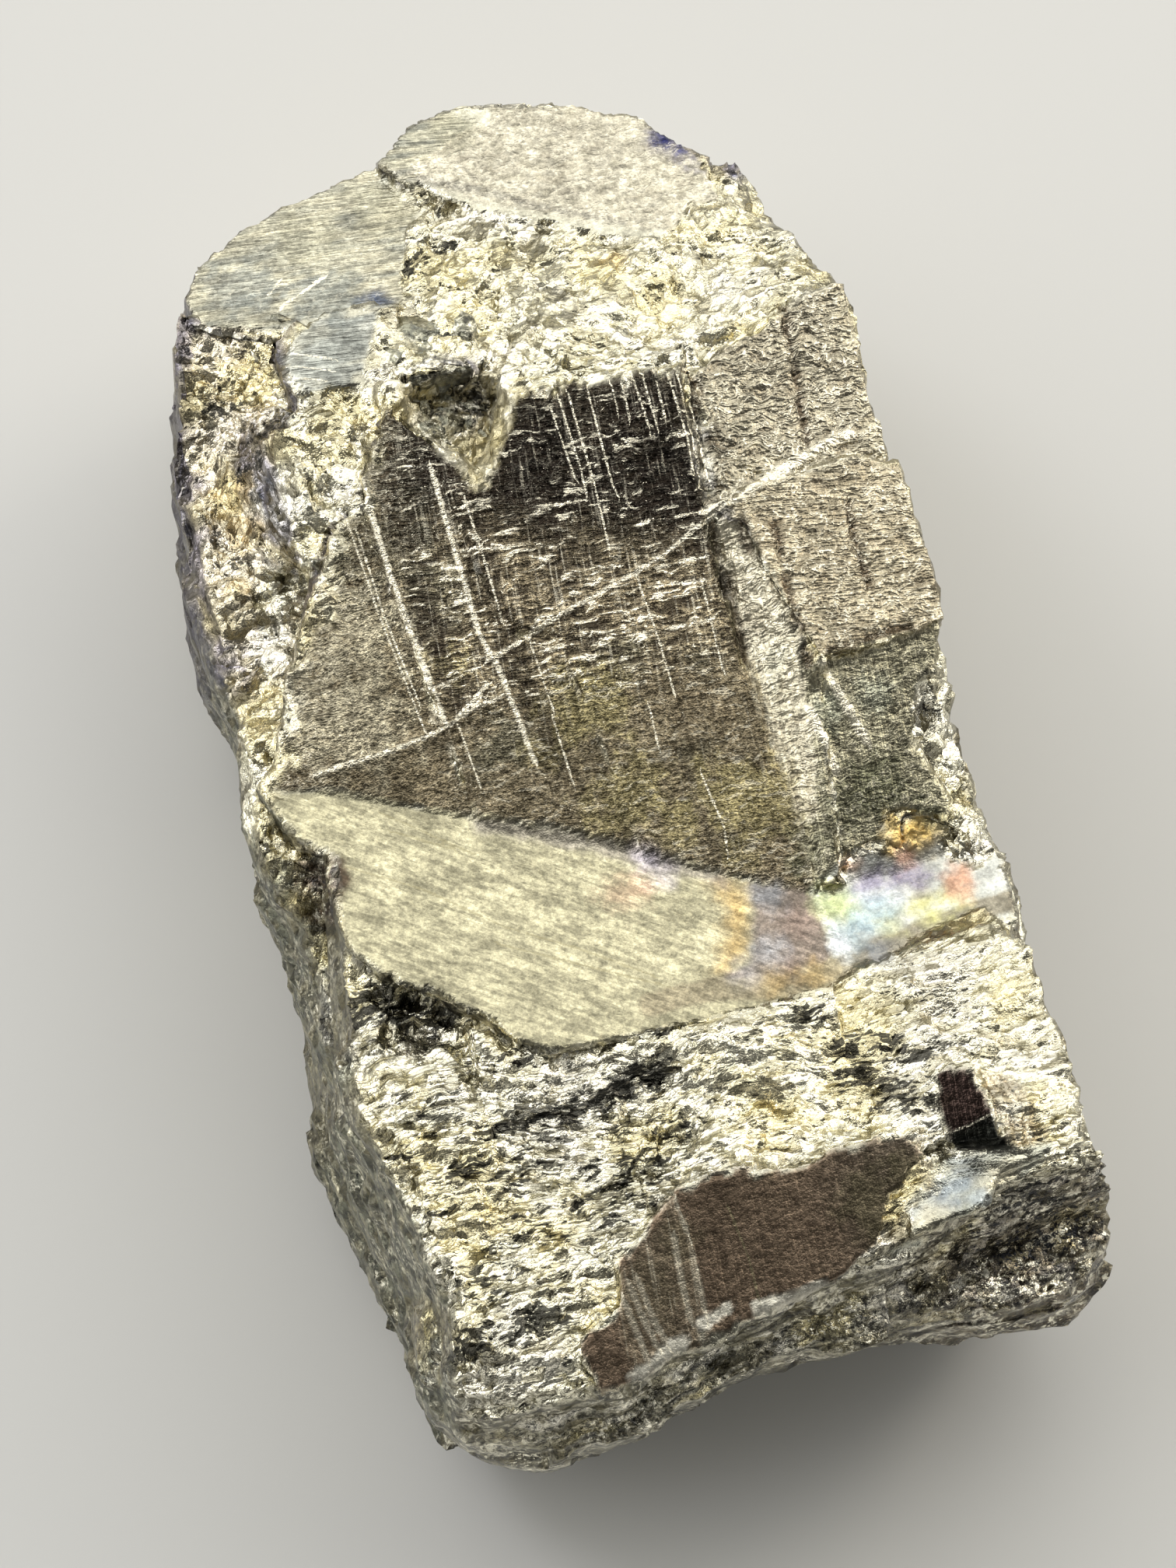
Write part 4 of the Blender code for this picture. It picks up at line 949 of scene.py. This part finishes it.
for weight, code in (
    (
        node(tree, "Math", [
            node(tree, "MapRange", [hue, 0.48, 0.66], interpolation_type="SMOOTHSTEP"),
            node(tree, "Math", [is_front, 0.5], operation="MULTIPLY"),
        ], operation="MULTIPLY"),
        "eedfa6",
    ),
    (
        node(tree, "Math", [
            node(tree, "MapRange", [hue, 0.48, 0.3], interpolation_type="SMOOTHSTEP"),
            node(tree, "Math", [is_front, 0.45], operation="MULTIPLY"),
        ], operation="MULTIPLY"),
        "d9d5cd",
    ),
    (
        node(tree, "Math", [
            node(tree, "MapRange", [each, 0.55, 0.95], interpolation_type="SMOOTHSTEP"), 0.55,
        ], operation="MULTIPLY"),
        "8d8568",
    ),
    # Painted shadow: a dark crescent under each flake.
    (node(tree, "Math", [crescent, crescent_shadow], operation="MULTIPLY"), "4a4433"),
    # Painted shade: dark flecks over the breaks, thick where shaded.
    (
        node(tree, "Math", [
            node(tree, "MapRange", [
                node(tree, "Math", [painted_shade_level, pattern], operation="SUBTRACT"), 0.0, 0.05,
            ], interpolation_type="SMOOTHSTEP"),
            0.92,
        ], operation="MULTIPLY"),
        "2d2c28",
    ),
    (
        node(tree, "Math", [
            node(tree, "Math", [is_wear_and_glints, 0.6], operation="MULTIPLY"),
            node(tree, "MapRange", [fine, 0.5, 0.42], interpolation_type="SMOOTHSTEP"),
        ], operation="MULTIPLY"),
        "303238",
    ),
    # Light flecks on worn parts: painted glints.
    (
        node(tree, "Math", [
            node(tree, "Math", [
                is_wear_and_glints, node(tree, "MapRange", [mottle, 0.4, 0.6], interpolation_type="SMOOTHSTEP"),
            ], operation="MULTIPLY"),
            node(tree, "MapRange", [fine, 0.53, 0.6], interpolation_type="SMOOTHSTEP"),
        ], operation="MULTIPLY"),
        "fbf6e2",
    ),
):
    fresh = node(tree, "Mix", {0: weight, 6: fresh, 7: linear(code)}, 2, data_type="RGBA")
# Painted shade on the faces: a dark line beside each glint on the large face, and dark crescents and fold sides
# on wrinkled faces.
for weight, code in (
    (
        node(tree, "Math", [
            node(tree, "Math", [
                lined, node(tree, "MapRange", [waves, 0.52, 0.42], interpolation_type="SMOOTHSTEP"),
            ], operation="MULTIPLY"),
            0.75,
        ], operation="MULTIPLY"),
        "241f1b",
    ),
    (
        node(tree, "Math", [
            node(tree, "Math", [wrinkled, 0.18], operation="MULTIPLY"),
            node(tree, "Math", [big[1], small[1]], operation="MAXIMUM"),
        ], operation="MULTIPLY"),
        "6a5f48",
    ),
    (
        node(tree, "Math", [
            node(tree, "Math", [wrinkled, 0.26], operation="MULTIPLY"),
            node(tree, "MapRange", [
                node(tree, "Math", [0.5, waves], operation="SUBTRACT"), 0.03, 0.12,
            ], interpolation_type="SMOOTHSTEP"),
        ], operation="MULTIPLY"),
        "6e5f4a",
    ),
):
    face_colour = node(tree, "Mix", {0: weight, 6: face_colour, 7: linear(code)}, 2, data_type="RGBA")
colour = node(tree, "Mix", {0: is_broken, 6: face_colour, 7: fresh}, 2, data_type="RGBA")


def away_from(name):
    """Distance from a set of drawn lines, in mm."""
    far = node(tree, "Math", [1.0, stored[f"{name}_near"]], operation="SUBTRACT")
    return node(tree, "Math", [
        node(tree, "Math", [stored[f"{name}_gap"]], operation="ABSOLUTE"), far,
    ], operation="ADD")


def drawn(away, width, edge, breaks=None):
    """Strength of drawn lines: 1 on the line and 0 past its half width, ragged and broken up by the grain."""
    line = node(tree, "MapRange", [
        node(tree, "Math", [
            node(tree, "Math", [fine, 0.5], operation="SUBTRACT"), edge, away,
        ], operation="MULTIPLY_ADD"),
        width, width * 0.3,
    ], interpolation_type="SMOOTHSTEP")
    if breaks is None:
        return line
    return node(tree, "Math", [
        line, node(tree, "MapRange", [grit, breaks - 0.08, breaks + 0.08], interpolation_type="SMOOTHSTEP"),
    ], operation="MULTIPLY")


nearest_line = node(tree, "Math", [
    node(tree, "Math", [away_from("line_0"), away_from("line_1")], operation="MINIMUM"), away_from("line_2"),
], operation="MINIMUM")
crack = drawn(away_from("crack"), 0.13, 0.34, 0.40)
ridge = drawn(away_from("ridge"), 0.15, 0.30)
fold = node(tree, "Math", [node(tree, "Math", [waves, 0.5], operation="SUBTRACT")], operation="ABSOLUTE")
crinkles = node(tree, "Math", [
    node(tree, "MapRange", [fold, 0.024, 0.008], interpolation_type="SMOOTHSTEP"),
    node(tree, "Math", [
        node(tree, "MapRange", [small[3], 0.05, 0.01], interpolation_type="SMOOTHSTEP"), 0.5,
    ], operation="MULTIPLY"),
], operation="MAXIMUM")
crinkles = node(tree, "Math", [
    node(tree, "Math", [crinkles, wrinkled], operation="MULTIPLY"),
    node(tree, "MapRange", [fine, 0.4, 0.56], interpolation_type="SMOOTHSTEP"),
], operation="MULTIPLY")
stripes = node(tree, "Math", [striped, drawn(nearest_line, 0.19, 0.3)], operation="MULTIPLY")
lines = node(tree, "Math", [
    node(tree, "Math", [1.0, node(tree, "Math", [striped, 0.6], operation="MULTIPLY")], operation="SUBTRACT"),
    drawn(nearest_line, 0.06, 0.14, 0.45),
], operation="MULTIPLY")
crosses = node(tree, "Math", [
    drawn(away_from("cross"), 0.085, 0.5),
    node(tree, "MapRange", [mottle, 0.46, 0.56], interpolation_type="SMOOTHSTEP"),
], operation="MULTIPLY")
rims = drawn(away_from("edge"), 0.30, 0.6)
scratch = drawn(away_from("scratch"), 0.07, 0.25)
glint_dashes = node(tree, "Math", [
    node(tree, "MapRange", [waves, 0.57, 0.625], interpolation_type="SMOOTHSTEP"),
    node(tree, "Math", [
        lined, node(tree, "MapRange", [mottle, 0.36, 0.5], interpolation_type="SMOOTHSTEP"),
    ], operation="MULTIPLY"),
], operation="MULTIPLY")
glint_specks = node(tree, "Math", [
    node(tree, "MapRange", [grit, 0.66, 0.74], interpolation_type="SMOOTHSTEP"),
    node(tree, "Math", [grainy, 0.6], operation="MULTIPLY"),
], operation="MULTIPLY")
combs = node(tree, "Math", [
    node(tree, "Math", [stripes, 0.34], operation="MULTIPLY"),
    node(tree, "Math", [
        node(tree, "MapRange", [long_lines, 0.56, 0.72], interpolation_type="SMOOTHSTEP"),
        node(tree, "Math", [
            node(tree, "Math", [lined, 0.35], operation="MULTIPLY"),
            node(tree, "Math", [striped, 0.3], operation="MULTIPLY"),
        ], operation="ADD"),
    ], operation="MULTIPLY"),
], operation="MAXIMUM")
# Painted highlights: the lines, specks, glints, ridges, healed crack, step edges and crinkles are coloured
# cream.
bright = combs
for mark, strength in (
    (glint_specks, 1.0), (crack, 0.8), (ridge, 0.75), (glint_dashes, 0.9), (lines, 0.8), (crosses, 1.0), (rims, 0.7),
        (crinkles, 0.75)
):
    bright = node(tree, "Math", [
        bright, node(tree, "Math", [mark, strength], operation="MULTIPLY"),
    ], operation="MAXIMUM")
colour = node(tree, "Mix", {0: bright, 6: colour, 7: linear("f8f0d8")}, 2, data_type="RGBA")
colour = node(tree, "Mix", {
    0: node(tree, "Math", [scratch, 0.5], operation="MULTIPLY"), 6: colour, 7: linear("8d8668"),
}, 2, data_type="RGBA")
tree.links.new(colour, shader.inputs["Base Color"])

# Clean metal is nearly a mirror; films and dust make it dull.
roughness = node(tree, "Math", [
    node(tree, "MapRange", [fine, 0.3, 0.7, 0.16, 0.26], interpolation_type="SMOOTHSTEP"),
    node(tree, "Math", [stored["dull"], 0.28], operation="MULTIPLY"),
], operation="ADD")
tree.links.new(roughness, shader.inputs["Roughness"])

# Fine relief, in millimetres, too small for the mesh.
broken_height = node(tree, "Math", [
    node(tree, "Math", [
        is_broken, node(tree, "MapRange", [is_front, 0, 1, 0.62, 1.0], interpolation_type="SMOOTHSTEP"),
    ], operation="MULTIPLY"),
    node(tree, "Math", [tall, node(tree, "Math", [fine, 0.05], operation="MULTIPLY")], operation="ADD"),
], operation="MULTIPLY")
line_height = node(tree, "Math", [
    node(tree, "Math", [
        node(tree, "Math", [cross_lines, stored["level"]], operation="MULTIPLY"), 0.09,
    ], operation="MULTIPLY"),
    node(tree, "Math", [
        node(tree, "Math", [long_lines, stored["upright"]], operation="MULTIPLY"), 0.08,
    ], operation="MULTIPLY"),
], operation="ADD")
wrinkle_height = node(tree, "Math", [
    wrinkled,
    node(tree, "Math", [
        node(tree, "Math", [small[0], 0.4], operation="MULTIPLY"),
        node(tree, "Math", [fold, 0.4], operation="MULTIPLY"),
    ], operation="SUBTRACT"),
], operation="MULTIPLY")
lined_height = node(tree, "Math", [
    lined,
    node(tree, "Math", [
        node(tree, "Math", [waves, 0.16], operation="MULTIPLY"),
        node(tree, "Math", [small[0], 0.25], operation="MULTIPLY"),
    ], operation="ADD"),
], operation="MULTIPLY")
face_height = node(tree, "Math", [
    node(tree, "Math", [wrinkle_height, lined_height], operation="ADD"),
    node(tree, "Math", [
        fine, node(tree, "MapRange", [grainy, 0, 1, 0.05, 0.13], interpolation_type="SMOOTHSTEP"),
    ], operation="MULTIPLY"),
], operation="ADD")
height_all = node(tree, "Math", [
    node(tree, "Math", [broken_height, face_height], operation="ADD"), line_height,
], operation="ADD")
bumped = node(tree, "Bump", {"Height": height_all, "Strength": 1.0, "Distance": MM})
tree.links.new(bumped, shader.inputs["Normal"])
mesh.materials.clear()
mesh.materials.append(pyrite)

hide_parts("pyrite_cluster")
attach(lump, "root")
